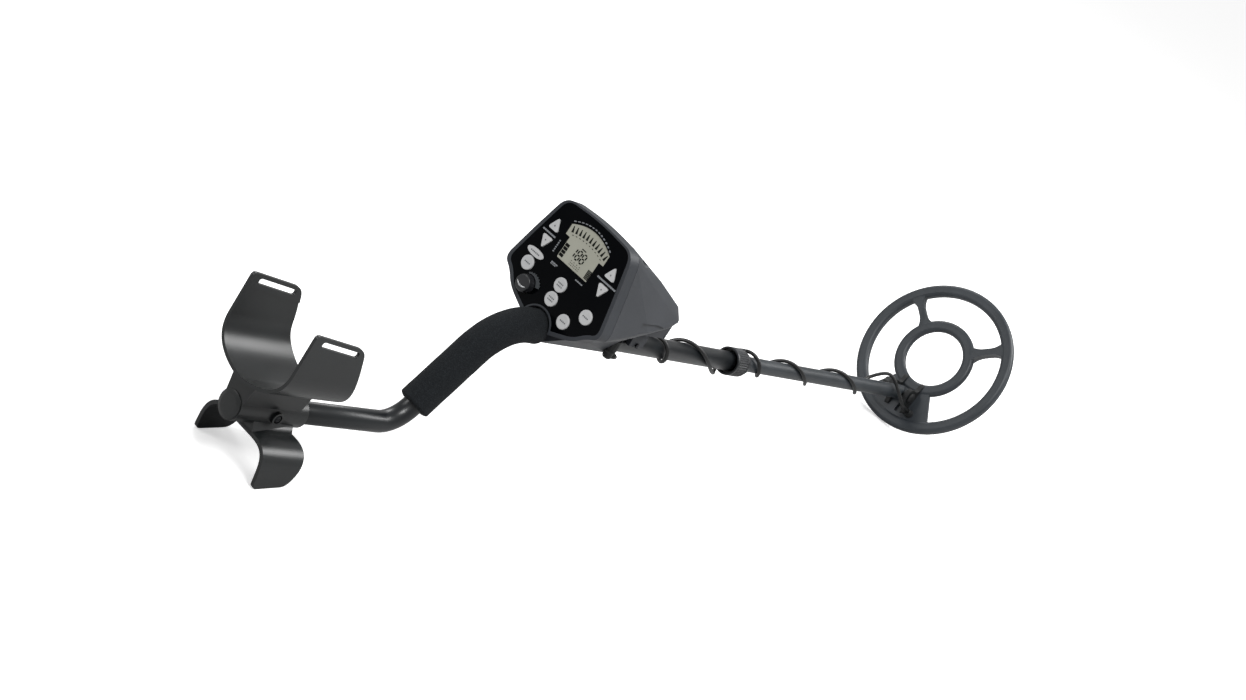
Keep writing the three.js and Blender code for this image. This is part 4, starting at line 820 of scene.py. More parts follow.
def oval_line(margin: float) -> np.ndarray:
    """The oval key's outline: (a + x cos t, b + y sin t), a little fuller than an ellipse."""
    t = np.linspace(0, 2 * math.pi, 64, endpoint=False)
    a, b, x, y = OVAL
    full = 0.92
    return np.column_stack([a + (x + margin) * np.sign(np.cos(t)) * np.abs(np.cos(t)) ** full,
                            b + (y + margin) * np.sign(np.sin(t)) * np.abs(np.sin(t)) ** full])


def key_lines(margin: float) -> dict[str, np.ndarray]:
    """Outlines of the keys that aren't round, moved outwards by a margin."""
    lines = {name: flat_outline(offset_corners(c, margin), 9) for name, c in SHAPED_KEYS.items()}
    lines["key_oval"] = oval_line(margin)
    return lines


@dataclass
class Housing:
    """Bezel, shell with its screw holes, battery doors, clamp, jack and plug."""

    bezel_depth: float = 15.5
    margin: float = 4.2
    notch: float = 20.5
    panel_notch: float = 22.4
    screws: tuple = ((-44, 30.5), (44, 30.5), (-62.3, -40.5), (62.3, -40.5))
    shell_floor: float = 119.4
    front: float = 292.0
    battery_low: float = 159.0

    def bezel(self) -> None:
        """A rim round the panel, rounded on its outer edge, with the arch for the foam."""
        rim = extrude("bezel", face_outline(self.margin, 10), -self.bezel_depth, 0, FACE)
        pocket = extrude("w", face_outline(0, 10), -3.3, 3, FACE)
        combine(pocket, Op.CUT, channel("w2", self.panel_notch))
        hollow = extrude("w3", face_outline(-4, 6), -30, 2, FACE)
        combine(hollow, Op.CUT, channel("w4", self.panel_notch + 0.8))
        combine(rim, Op.CUT, pocket, hollow, channel("w5", self.notch))
        place(soften(rim, 1.0, 4), HOUSING, "main", "housing_bezel")

    def section(self, x: float, pairs: Sequence[Sequence[float]]) -> np.ndarray:
        """Points of a half section and its mirror at one station."""
        p = np.array(pairs, float)
        one = np.column_stack([np.full(len(p), x), p])
        return np.vstack([one, one * [1, -1, 1]])

    def shell(self) -> None:
        """Two convex bodies and the battery box joined, the upper one trimmed to the bezel's outline,
        then opened; lugs under the box carry the doors."""
        back = -(self.bezel_depth + 0.3)
        rear = face_outline(self.margin, 7)
        on_face = (FACE.out(np.column_stack([rear, np.full(len(rear), back)])) - ROD.origin) @ ROD.matrix / MM
        upper = np.vstack([
            on_face, self.section(212, [(0, 229), (38, 226.5), (60, 176), (46, 160)]),
            self.section(246, [(0, 215), (32, 212.5), (50, 179), (36, 167)]),
            self.section(283, [(0, 200), (28, 198), (38, 185), (32, 172)]),
            self.section(292, [(0, 193.5), (24, 192), (32, 185), (28, 173)])])
        body = hull("shell", upper, ROD)
        combine(body, Op.COMMON, extrude("w", rear, -200, back, FACE))
        half = np.array([[49, 172], [47, 152], [20, 134], [12, 125], [7, self.shell_floor]])
        b = (half[:, 1] - S.face_height) / math.sin(S.face_tilt)
        keel_face = np.column_stack([half[:, 0], b, np.full(5, back)])
        keel_face = np.vstack([keel_face, keel_face * [-1, 1, 1]])
        keel = np.vstack([
            (FACE.out(keel_face) - ROD.origin) @ ROD.matrix / MM,
            self.section(212, [(38, 176), (38, 164), (17, 131), (7, self.shell_floor)]),
            self.section(241, [(22, 168)]), self.section(248, [(15, 132), (7, self.shell_floor)])])
        bay = [block(f"wb{s}", (237, min(s * 0.7, s * 28.2), 160.8), (300, max(s * 0.7, s * 28.2), 180), ROD)
               for s in (-1, 1)]
        step = extrude("w6s", np.array([[186.5, 174], [205, 110], [305, 110], [305, 171.5], [277, 175.6],
                                        [230, 184.2], [189.5, 187.6]]), -80, 80, ROD, 1)
        combine(step, Op.CUT, hull("w6a", upper * [1.01, 0.945, 1.01] - [0, 0, 1.9], ROD))
        combine(body, Op.CUT, step)
        box = np.vstack([self.section(236.6, [(33.2, 177), (31.2, self.battery_low)]),
                         self.section(288.6, [(30.1, 176), (29.4, self.battery_low)])])
        combine(body, Op.JOIN, hull("w6", keel, ROD), hull("w6b", box, ROD))
        combine(body, Op.CUT, channel("w7", S.rod_radius + 0.3),
                rod_of("w8", 6.8, (231, -19, 100), 2, 50, ROD, 32), rod_of("w9", 5.3, (165, 50, 185), 1, 40, ROD, 32),
                block("w10", (288.7, -30.3, 157), (300, 30.3, 179.8), ROD), *bay,
                *[peg(f"w11{i}", 3.5, at, -130, -26) for i, at in enumerate(self.screws)])
        low = self.battery_low
        combine(body, Op.JOIN, *[block(f"wl{y}", (276, y, low - 2.1), (291.6, y + 7, low - 0.15), ROD)
                                 for y in (-20.5, 13.5)])
        combine(body, Op.JOIN, *[block(f"wm{y}", (277, y + 0.3, low - 1.8), (287, y + 6.7, low + 1), ROD)
                                 for y in (-20.5, 13.5)])
        place(soften(body, 1.4, 3, 18), HOUSING, "main", "housing_shell")

    def doors(self) -> None:
        """The two battery doors with a finger ridge across the top of each."""
        for side, s in (("left", 1), ("right", -1)):
            low, high = sorted((s * 0.4, s * 29.8))
            door = block(f"door_{side}", (289.0, low, self.battery_low), (291.4, high, 179.5), ROD)
            middle = (low + high) / 2
            ridges = [block(f"wd{i}", (291.2, middle - 8, z), (292.0, middle + 8, z + 0.9), ROD)
                      for i, z in enumerate((173, 175, 177))]
            combine(door, Op.JOIN, *ridges)
            place(soften(door, 0.3, 2), HOUSING, f"door_{side}", f"battery_door_{side}")

    def clamp(self) -> None:
        """The saddle that holds the housing's nose to the rod."""
        rise = S.rise
        line = flat_outline([[-15, rise + 4.4, 0.01], [15, rise + 4.4, 0.01], [15, rise + 15, 3],
                             [11, self.battery_low - 0.3, 0.01], [-11, self.battery_low - 0.3, 0.01],
                             [-15, rise + 15, 3]], 6)
        obj = extrude("nose_clamp", line, 263, 288, ROD, 0)
        combine(obj, Op.CUT, channel("w", S.rod_radius + 0.15), rod_of("w2", 3.1, (276, -30, rise + 6), 1, 60, ROD, 24))
        place(soften(obj, 0.6, 3), HOUSING, "main", "rod_saddle")

    def plug(self) -> None:
        """The elbow plug of the coil's cable under the housing, with a ribbed boot."""
        at = (231, -19, 131)
        barrel = lathe("plug_barrel", rounded([[0.01, 8.7], [4.7, 8.7], [4.7, -0.3], [6, -0.3], [6, -3], [5.2, -3.6],
                                               [5.2, -9], [3.6, -10.8], [0.01, -11]], 0.6), ROD, at, 2, 40)
        rib = 3.5 + 0.3 * np.cos(np.linspace(0, 8 * math.pi, 33))
        boot = np.column_stack([rib, np.linspace(1, 10, 33)])
        boot = np.vstack([[[0.01, 1]], boot, [[0.01, 10]]])
        combine(barrel, Op.JOIN, lathe("w", boot, ROD, (231, -19, 124), 0, 32))
        combine(barrel, Op.CUT, rod_of("w2", 2.6, (236, -19, 124), 0, 8, ROD, 24))
        place(soften(barrel, 0.2, 2), RUBBER, "main", "coil_plug")

    def jack(self) -> None:
        """The headphone socket's threaded collar on the far side."""
        line = rounded([[3.3, -9], [3.3, 2.6], [4.6, 2.6], [5, 2.2], [5, -8], [7, -8], [7, -14], [0.01, -14],
                        [0.01, -9], [3.3, -9]], 0.3, 3)
        place(lathe("headphone_collar", line, ROD, (165, 66, 185), 1, 48), RUBBER, "main", "headphone_jack")

    def build(self) -> None:
        """All of it."""
        self.bezel()
        self.shell()
        self.doors()
        self.clamp()
        self.plug()
        self.jack()


@dataclass
class Face:
    """The glossy panel with its window, marks, keys and dial."""

    top: float = -0.6
    back: float = -3.0
    mark: float = 0.05

    def panel(self) -> None:
        """The black sheet, cut for the foam, the window, each key and the dial's shaft."""
        sheet = extrude("gloss_panel", face_outline(-0.3, 10), self.back, self.top, FACE)
        tools = [channel("w", 22.7), extrude("w2", display_outline(0.3), -10, 2, FACE), peg("w3", 3.3, DIAL, -10, 2)]
        tools += [peg(f"wr{i}", 8.05, at, -10, 2) for i, at in enumerate(ROUND_KEYS.values())]
        tools += [extrude(f"ws{i}", line, -10, 2, FACE) for i, line in enumerate(key_lines(0.25).values())]
        combine(sheet, Op.CUT, *tools)
        place(soften(sheet, 0.25, 2), PANEL, "main", "face_panel")

    def keys(self) -> None:
        """Pad keys: rounded prisms, and dished discs, h = top - 0.35 * (1 - (r / edge)^2)."""
        flanges = key_lines(0.5)
        for name, line in key_lines(0.0).items():
            cap = extrude(name + "_pad", line, -6.5, 0.9, FACE)
            combine(cap, Op.JOIN, extrude("w", flanges[name], -4.5, -3.3, FACE))
            place(soften(cap, 0.45, 3), KEY, name + "_body", name)
        edge = np.linspace(6.8, 0.01, 8)
        dish = np.column_stack([edge, 0.9 - 0.35 * (1 - (edge / 6.8) ** 2)])
        side = np.array([[0.01, -6.5], [6, -6.5], [6, -4.5], [8.3, -4.5], [8.3, -3.3], [7.8, -3.3], [7.8, 0.3],
                         [7.5, 0.75]])
        for name, (a, b) in ROUND_KEYS.items():
            pad = lathe(name + "_pad", np.vstack([side, dish]), FACE, (a, b, 0), 2, 56)
            bevel(pad, 0.12, 2, 40)
            place(pad, KEY, name + "_body", name)

    def strips(self, name: str, shapes: Sequence[np.ndarray], low: float, high: float, finish: Finish,
               body: str = "main") -> None:
        """Thin printed or liquid-crystal shapes, each a flat prism, as one piece."""
        points, faces, base = [], [], 0
        for line in shapes:
            n = len(line)
            both = np.zeros((2, n, 3))
            both[..., :2] = line
            both[0, :, 2], both[1, :, 2] = low, high
            points.append(both.reshape(-1, 3))
            faces += [tuple(f + base) for f in grid_faces(2, n, False, True)]
            faces += [tuple(range(base, base + n)), tuple(range(base + n, base + 2 * n))]
            base += 2 * n
        place(make_object(name, FACE.out(np.vstack(points)), faces, False), finish, body)

    @staticmethod
    def bar(a: float, b: float, wide: float, high: float, turn: float = 0.0, lean: float = 0.0) -> np.ndarray:
        """A small rectangle about a point, turned and leaned."""
        x = np.array([-1, 1, 1, -1]) * wide / 2
        y = np.array([-1, -1, 1, 1]) * high / 2
        x = x + lean * y
        c, s = math.cos(turn), math.sin(turn)
        return np.column_stack([a + x * c - y * s, b + x * s + y * c])

    def digit(self, a: float, b: float, size: float, lit: str) -> list[np.ndarray]:
        """A seven-part figure: top, two upper, middle, two lower, bottom; lit names those shown."""
        w, h, k, lean = size * 0.44, size / 2, size * 0.155, 0.12
        places = {"t": (0, h, 1), "m": (0, 0, 1), "b": (0, -h, 1), "p": (-w / 2, h / 2, 0), "q": (w / 2, h / 2, 0),
                  "r": (-w / 2, -h / 2, 0), "s": (w / 2, -h / 2, 0)}
        out = []
        for key in lit:
            x, y, flat = places[key]
            length = (w if flat else h) - k * 0.55
            size_xy = (length, k) if flat else (k, length)
            e = k / 2
            lx, ly = size_xy[0] / 2, size_xy[1] / 2
            if flat:
                shape = np.array([[-lx, 0], [-lx + e, -e], [lx - e, -e], [lx, 0], [lx - e, e], [-lx + e, e]])
            else:
                shape = np.array([[0, -ly], [e, -ly + e], [e, ly - e], [0, ly], [-e, ly - e], [-e, -ly + e]])
            shape = shape + [x, y]
            shape[:, 0] += lean * shape[:, 1]
            out.append(shape + [a, b])
        return out

    def screen(self) -> None:
        """The window and what it shows: an arc of wedge marks, small bars, three figures, level bars."""
        glass = extrude("display_window", display_outline(0), -2.6, -1.1, FACE)
        place(soften(glass, 0.1, 1), LCD, "main", "lcd_window")
        shapes = []
        for a in np.linspace(-24.4, 26.2, 11):
            b, tilt = 21.6 - 0.0058 * a * a, -0.0116 * a
            spike = np.array([[-1.5, -3.4], [1.5, -3.4], [0.45, 3.4], [-0.45, 3.4]])
            c, d = math.cos(tilt), math.sin(tilt)
            shapes.append(np.column_stack([a + spike[:, 0] * c - spike[:, 1] * d, b + spike[:, 0] * d + spike[:, 1] * c]))
        for a in np.linspace(-21, 22, 10):
            shapes.append(self.bar(a, 16.0 - 0.0065 * a * a, 1.9, 0.8, -0.013 * a))
        for a, lit in ((-8.9, "qs"), (-1.7, "tmbpqrs"), (5.2, "tmbpqrs")):
            shapes += self.digit(a, 1.3, 10.4, lit)
        shapes.append(self.bar(0.6, 9.0, 6.2, 1.1))
        for row, count in ((-7.2, 4), (-9.3, 6), (-11.4, 6)):
            shapes += [self.bar(a, row, 1.3, 0.7) for a in np.linspace(-5.5, 7.0, count)]
        for i in range(4):
            shapes.append(self.bar(-19.6, -9.9 + i * 3.9, 5.6, 3.3))
            shapes.append(self.bar(18.0 + i * 1.45, -7.4, 1.15, 10.2))
        self.strips("display_marks", shapes, -1.1, -1.02, SEGMENT)

    def print_marks(self) -> None:
        """Plain dashes beside the keys, an arc of ticks over the window, and the dial's scale."""
        low, high = self.top, self.top + self.mark
        shapes = []
        for a in np.linspace(-27, 27, 13):
            shapes.append(self.bar(a, float(arc_height(a)) + 3.0, 2.2, 0.9, -math.atan(2 * 8.5 * a / 29.3**2)))
        for left, right, b, high in ((-55.0, -36.0, -0.6, 1.5), (31.0, 58.5, -0.6, 1.6), (11.8, 22.6, -18.7, 1.1),
                                     (-24.2, -14.8, -20.9, 1.2), (-24.2, -16.5, -22.6, 0.8)):
            count = max(2, int((right - left) / 2.4))
            step = (right - left) / count
            shapes += [self.bar(left + (i + 0.5) * step, b, step * 0.72, high) for i in range(count)]
        shapes += [self.bar(-29.3, b, 0.9, 1.5) for b in np.linspace(-11.8, 0.4, 6)]
        shapes.append(self.bar(DIAL[0] - 12.8, DIAL[1], 1.6, 0.8))
        self.strips("panel_marks", shapes, low, high, PRINT)
        t = np.linspace(math.radians(118), math.radians(14), 53)
        ray = np.column_stack([np.cos(t), np.sin(t)])
        grow = np.linspace(0.6, 4.6, len(t)) + 0.5 * np.sign(np.sin(np.linspace(0, 16 * math.pi, len(t))))
        wedge = np.vstack([(ray * (11.2 + grow)[:, None]), (ray * 10.8)[::-1]])
        self.strips("dial_wedge", [wedge + [DIAL[0], DIAL[1]]], low, high, DIM_PRINT)
        for name in SHAPED_KEYS:
            a, b = np.mean(np.array(SHAPED_KEYS[name])[:, :2], 0)
            self.strips(name + "_mark", [self.bar(a, b, 1.9, 0.7), self.bar(a, b, 0.7, 1.9)], 0.88, 0.93, LEGEND,
                        name + "_body")
        self.strips("key_oval_mark", [self.bar(a, OVAL[1], 1.5, 1.4) for a in np.linspace(-51.5, -40.5, 6)],
                    0.88, 0.93, LEGEND, "key_oval_body")
        for name, (a, b) in ROUND_KEYS.items():
            rows = (b - 1.5, b + 1.5) if name in ("key_upper", "key_lower") else (b,)
            marks = [self.bar(a + k * 2.1, row, 1.4, 1.3) for row in rows for k in (-1.5, -0.5, 0.5, 1.5)]
            self.strips(name + "_mark", marks, 0.5, 0.68, LEGEND, name + "_body")

    def dial(self) -> None:
        """The knob: r = r0 * (1 + 0.02 * cos(18 angle)) down its side, a flat top, and a bright crescent over its lower
        side that is a painted highlight.
        """
        def flutes(radius: np.ndarray, along: np.ndarray, angle: np.ndarray) -> np.ndarray:
            """Grooves that fade out towards the top and the middle."""
            depth = 0.028 * (radius > 7.5) * np.clip((8.4 - along) / 1.5, 0, 1)
            return radius * (1 - depth * (0.5 + 0.5 * np.cos(18 * angle)))

        line = rounded([[3.3, 4.4], [3.3, -0.2], [9.4, -0.2], [10, 0.6], [9.5, 4], [9.2, 8], [8.4, 9], [0.01, 8.7]], 0.7)
        line = np.vstack([[[0.01, 4.4]], line])
        knob = lathe("dial_knob", line, FACE, (*DIAL, 0), 2, 108, flutes)
        place(knob, KNOB, "knob", "sensitivity_knob")
        # A thin bright crescent on the knob's top, towards its lower side: a painted highlight.
        t = np.linspace(math.radians(212), math.radians(318), 25)
        ray = np.column_stack([np.cos(t), np.sin(t)])
        thick = 0.3 + 1.3 * np.sin(np.linspace(0, math.pi, len(t)))
        curve = np.vstack([ray * 8.2, (ray * (8.2 - thick)[:, None])[::-1]]) + [DIAL[0], DIAL[1] + 3.8]
        painted_highlight = extrude("dial_painted_highlight", curve, 8.6, 9.02, FACE)
        place(painted_highlight, PAINTED_HIGHLIGHT, "knob")

    def build(self) -> None:
        """All of it."""
        self.panel()
        self.keys()
        self.screen()
        self.print_marks()
        self.dial()


# ------------------------------------------------------------------ collar, stem and coil
@dataclass
class Stem:
    """The lock collar, the telescoping lower tube and its flattened end."""

    collar_length: float = 30.0
    ribs: int = 36
    rib_height: float = 0.6
    tongue_half: float = 7.9
    tongue_radius: float = 8.7

    def collar(self) -> None:
        """A ribbed ring: r = 15.6 + h * cos(36 angle) between its two lips, open round the rod."""
        def ribbed(radius: np.ndarray, along: np.ndarray, angle: np.ndarray) -> np.ndarray:
            """Ribs on the outer wall only, fading before the lips."""
            on = (radius > 15.5) & (along > 4.6) & (along < 21.6)
            return radius + on * self.rib_height * np.cos(self.ribs * angle)

        wall = [[15.6, z] for z in np.linspace(4.4, 21.8, 12)]
        line = rounded([[13.9, 1], [13.9, 0], [16.2, 0], [16.2, 3.5], *wall, [16.2, 22.6], [14.2, 27], [13.6, 30],
                        [9.15, 30], [9.15, 27], [13.2, 27], [13.2, 19], [11.5, 18.4], [11.5, 5], [13.9, 5],
                        [13.9, 1.2]], 0.35, 3)
        obj = lathe("lock_ring", line, ROD, (S.collar_rear, 0, S.rise), 0, 216, ribbed, True)
        place(obj, COLLAR, "collar", "lock_collar")

    def tube(self) -> None:
        """The lower tube, with its wall."""
        inner = S.stem_radius - S.stem_wall
        line = np.array([[inner, 0], [S.stem_radius, 0], [S.stem_radius, 258], [S.stem_radius, 516], [inner, 516]])
        obj = lathe("stem_tube", line, STEM, (S.stem_rear, 0, 0), 0, 56, None, True)
        bevel(obj, 0.3, 2)
        place(obj, STEM_F, "stem", "lower_stem")

    def tongue(self) -> None:
        """The end piece: a collar, two flats, and a round nose about the pivot."""
        f, p, t = S.stem_front, S.pivot, self.tongue_half
        neck = rod_of("stem_end", S.stem_radius, (f + 0.3, 0, 0), 0, p + 4 - f, STEM, 56)
        flats = block("w", (f, -t, -12), (p + 12, t, 12), STEM)
        combine(flats, Op.JOIN, rod_of("w2", 20, (f - 1, 0, 0), 0, 7, STEM, 48))
        combine(neck, Op.COMMON, flats)
        combine(neck, Op.CUT, block("w3", (p, -20, -20), (p + 30, 20, 20), STEM))
        combine(neck, Op.JOIN, rod_of("w4", self.tongue_radius, (p, -t, 0), 1, 2 * t, STEM, 56),
                rod_of("w5", 6.6, (f - 28, 0, 0), 0, 29.5, STEM, 40))
        combine(neck, Op.CUT, rod_of("w6", 3.3, (p, -20, 0), 1, 40, STEM, 32))
        place(soften(neck, 0.5, 3), STEM_F, "stem", "stem_tongue")

    def build(self) -> None:
        """All of it."""
        self.collar()
        self.tube()
        self.tongue()


@dataclass
class Coil:
    """The open search coil: two shells, spokes, rear plate, ears, gland, bolt and nut."""

    radius: float = 101.5
    rim: float = 15.0
    half: float = 6.5
    hub: float = 52.0
    hub_bore: float = 37.0
    spoke: float = 8.5
    spoke_angle: float = math.radians(51.5)
    plate_angle: float = math.radians(33.0)
    seam: float = 0.15

    def centre(self) -> Axes:
        """The frame at the coil's middle."""
        return COIL.child((S.coil_ahead, 0, -S.coil_below), np.eye(3))

    def ring(self, name: str, inner: float, outer: float, sign: int, sides: int) -> bpy.types.Object:
        """Half a ring: a section with two quarter-round shoulders, turned about the coil's axis."""
        t = np.linspace(0, math.pi / 2, 8)
        r = 5.0
        right = np.column_stack([outer - r + r * np.cos(t), self.half - r + r * np.sin(t)])
        left = np.column_stack([inner + r - r * np.sin(t), self.half - r + r * np.cos(t)])
        line = np.vstack([[[inner, self.seam], [outer, self.seam]], right, left]) * [1, sign]
        return lathe(name, line, self.centre(), (0, 0, 0), 2, sides, None, True)

    def spoke_line(self, angle: float) -> np.ndarray:
        """A bar from hub to rim that flares at both ends, turned to its angle."""
        w = self.spoke / 2
        rim = self.radius - self.rim
        pts = np.array([[self.hub - 7, -w - 7, 0.01], [self.hub + 6, -w, 7], [80, -w, 7], [rim + 7, -w - 8.5, 0.01],
                        [rim + 7, w + 8.5, 0.01], [80, w, 7], [self.hub + 6, w, 7], [self.hub - 7, w + 7, 0.01]])
        c, s = math.cos(angle), math.sin(angle)
        turned = np.column_stack([pts[:, 0] * c - pts[:, 1] * s, pts[:, 0] * s + pts[:, 1] * c, pts[:, 2]])
        return flat_outline(turned, 8)

    def plate_line(self) -> np.ndarray:
        """The sector between hub and rim under the ears."""
        t = np.linspace(math.pi - self.plate_angle, math.pi + self.plate_angle, 40)
        outer = np.column_stack([np.cos(t), np.sin(t)]) * (self.radius - self.rim + 6)
        inner = np.column_stack([np.cos(t), np.sin(t)]) * (self.hub - 6)
        return np.vstack([outer, inner[::-1]])

    def half_shell(self, sign: int) -> bpy.types.Object:
        """One shell without its ears."""
        c = self.centre()
        name = "coil_upper" if sign > 0 else "coil_lower"

        def span(high: float) -> tuple[float, float]:
            """From the seam to a height, on this shell's side."""
            return tuple(sorted((sign * self.seam, sign * high)))

        body = self.ring(name, self.radius - self.rim, self.radius, sign, 144)
        combine(body, Op.JOIN, self.ring("w", self.hub_bore, self.hub, sign, 96),
                extrude("w2", self.plate_line(), *span(5.0), c),
                extrude("w3", self.spoke_line(self.spoke_angle), *span(self.half - 0.8), c),
                extrude("w4", self.spoke_line(-self.spoke_angle), *span(self.half - 0.8), c))
        return body

    def ear_line(self) -> np.ndarray:
        """An ear seen from the side as (x, z): a broad foot that narrows to a round head."""
        z = -S.coil_below
        return flat_outline([
            [-20, z + 3.5, 0.01], [26, z + 3.5, 0.01], [24, z + 7.5, 4], [11, z + 10, 6], [9.5, 5, 4], [6.5, 9.5, 5],
            [-6.5, 9.5, 5], [-9.5, 5, 4], [-11, z + 10, 6], [-18.5, z + 7.5, 4]], 8)

    def shells(self) -> None:
        """Upper shell with ears and their hole, the wire's bore and a shallow socket; lower shell plain."""
        upper = self.half_shell(1)
        ears = extrude("coil_ears", self.ear_line(), 10.3, 16, COIL, 1)
        combine(ears, Op.JOIN, extrude("w", self.ear_line(), -16, -10.3, COIL, 1))
        combine(ears, Op.CUT, rod_of("w2", 3.3, (0, -40, 0), 1, 80, COIL, 32))
        place(soften(ears, 0.6, 3), RUBBER, "coil")
        hollow = flat_outline([[-83, -12, 3], [-70, -12, 3], [-70, -1, 3], [-83, -1, 3]], 8)
        combine(upper, Op.CUT, rod_of("w4", 3.6, (-15.6, -22, -17.5), 2, 20, COIL, 32),
                extrude("w5", hollow, 0.9, 9, self.centre()))
        place(soften(upper, 0.7, 3, 38, False), COIL_F, "coil", "coil_top_shell")
        place(soften(self.half_shell(-1), 0.7, 3, 38, False), COIL_F, "coil", "coil_bottom_shell")

    def fixings(self) -> None:
        """Round-headed bolt, lobed hand nut, and the gland of the cable."""
        bolt = lathe("coil_bolt", rounded([[0.01, -20], [4, -19.8], [6.6, -18.4], [6.6, -16.3], [3, -16.3], [3, 25],
                                           [0.01, 25]], 0.7), COIL, (0, 0, 0), 1, 48)
        bevel(bolt, 0.15, 2)
        place(bolt, RUBBER, "coil", "pivot_bolt")

        def lobes(radius: np.ndarray, along: np.ndarray, angle: np.ndarray) -> np.ndarray:
            """Seven hand lobes on the wide part: r * (1 - 0.05 + 0.05 cos(7 angle))."""
            return radius * (1 - 0.05 * (radius > 5) * (1 - np.cos(7 * angle)))

        nut = lathe("hand_nut", rounded([[3.3, 20], [3.3, 16.3], [8.6, 16.3], [9.2, 18], [8.6, 24.6], [7, 26.5],
                                         [0.01, 26.5]], 0.8), COIL, (0, 0, 0), 1, 84, lobes)
        place(nut, RUBBER, "coil_nut", "pivot_nut")
        z = -12.7
        line = rounded([[2.7, -10], [2.7, -16], [3.3, -16], [3.3, z], [5.2, z], [5.2, z + 2], [4.2, z + 4],
                        [3.6, z + 9], [2.7, z + 9], [2.7, -9.8]], 0.4, 4)
        gland = lathe("cable_boot", line, COIL, (-15.6, -22, 0), 2, 40, None, True)
        place(gland, RUBBER, "coil", "cable_gland")

    def build(self) -> None:
        """All of it."""
        self.shells()
        self.fixings()


# ------------------------------------------------------------------ cable
@dataclass
class Cable:
    """The coil's cable: out of its plug, round the rod and the lower tube, and into the coil."""

    radius: float = 2.15
    lift: float = 0.35
    fine_step: float = 6.0
    coarse_step: float = 22.5

    def lays(self) -> tuple[float, float, float]:
        """Radii of the cable's middle round the rod, the collar and the lower tube."""
        return (S.rod_radius + self.radius + self.lift, 16.2 + self.radius + self.lift + 0.3,
                S.stem_radius + self.radius + self.lift)

    def knots(self) -> tuple[np.ndarray, np.ndarray]:
        """Chosen turns [x, degrees from the top, lay], for the rod and for the lower tube."""
        a, b, c = self.lays()
        nose = b - 4.4
        upper = [[268, 180, a], [290, 270, a], [322, 333, a], [350, 513, a], [385, 693, a], [440, 850, a],
                 [470, 905, b - 1], [497, 968, b], [514.8, 1046.5, nose]]
        lower = [[515, 1046, nose], [541, 1215, c], [600, 1413, c], [653, 1593, c], [715, 1773, c],
                 [772, 1953, c], [805, 2060, c]]
        return np.array(upper, float), np.array(lower, float)

    @staticmethod
    def around(turns: np.ndarray) -> np.ndarray:
        """(x, angle, r) as a point: (x, -r sin(angle), rise + r cos(angle))."""
        x, degrees, r = np.asarray(turns, float).T
        angle = np.radians(degrees)
        return np.stack([x, -r * np.sin(angle), S.rise + r * np.cos(angle)], 1)

    def winding(self, knots: np.ndarray, step: float) -> np.ndarray:
        """Even steps of turn along the smooth curve through the knots."""
        dense = centripetal(knots * [1, 1, 10], 1600)
        count = int(round((knots[-1, 1] - knots[0, 1]) / step))
        degrees = np.linspace(knots[0, 1], knots[-1, 1], count + 1)
        order = np.maximum.accumulate(dense[:, 1])
        x = np.interp(degrees, order, dense[:, 0])
        r = np.interp(degrees, order, dense[:, 2]) / 10
        return self.around(np.stack([x, degrees, r], 1))

    @staticmethod
    def spaced(points: np.ndarray, gap: float) -> np.ndarray:
        """A smooth curve through points, sampled at even lengths."""
        dense = centripetal(points, 600)
        run = np.concatenate([[0], np.cumsum(np.linalg.norm(np.diff(dense, axis=0), axis=1))])
        at = np.linspace(0, run[-1], max(3, int(run[-1] / gap)))
        return np.stack([np.interp(at, run, dense[:, k]) for k in range(3)], 1)

    @staticmethod
    def carried(path: np.ndarray) -> np.ndarray:
        """A cross direction carried along the path without twist: each is the last one less its part
        along the new tangent."""
        tangent = np.gradient(path, axis=0)
        tangent /= np.linalg.norm(tangent, axis=1)[:, None]
        side = np.cross(tangent[0], [0.3, 0.5, 0.8])
        rows = []
        for t in tangent:
            side = side - side.dot(t) * t
            side = side / np.linalg.norm(side)
            rows.append(side)
        return np.array(rows)

    def lay(self, name: str, path: np.ndarray) -> bpy.types.Object:
        """A round jacket along a route."""
        return tube(name, path, self.carried(path), np.full(len(path), self.radius), ROD, 20)

    def build(self) -> None:
        """Rod part, lower part that rides on the lower tube, and the tail into the coil."""
        upper, lower = self.knots()
        coarse = self.winding(upper, self.coarse_step)
        lead = np.array([[236.5, -19, 124], [243, -19, 124], [251, -16, 121], [260, -9, 117.2]])
        start = self.spaced(np.vstack([lead, coarse[:2]]), 1.6)
        fine = self.winding(upper, self.fine_step)
        rest = fine[fine[:, 0] > coarse[1, 0] + 0.2]
        place(self.lay("cable_on_rod", np.vstack([start, rest])), JACKET, "main", "cable_upper")

        low = self.winding(lower, self.fine_step)
        obj = place(self.lay("cable_on_stem", low), JACKET, "stem", "cable_lower")
        anchor = ROD.out(low[-1])
        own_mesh(obj)

        ends = self.winding(lower, self.coarse_step)[-2:]
        along = (ends[1] - ends[0]) / np.linalg.norm(ends[1] - ends[0])
        first = ends[1] + along * 0.4
        top = -4.0
        gland = np.array([[-15.6, -22, top + 21], [-15.6, -22, top + 7], [-15.6, -22, top - 7]])
        in_rod = (COIL.out(gland) - ROD.origin) @ ROD.matrix / MM
        over = self.around(np.array([[842, 2150, self.lays()[2] + 8]]))
        path = self.spaced(np.vstack([[first], [first + along * 12], over, in_rod]), 1.6)
        tail = self.lay("cable_to_coil", path)
        JACKET.dress(tail)
        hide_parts("cable_tail")
        tuple(ROD.out(first + along * 8))
        tuple(ROD.out(in_rod[1]))
        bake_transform(tail)
        LOG.info("cable_to_coil: %d faces between stem and coil", len(tail.data.polygons))


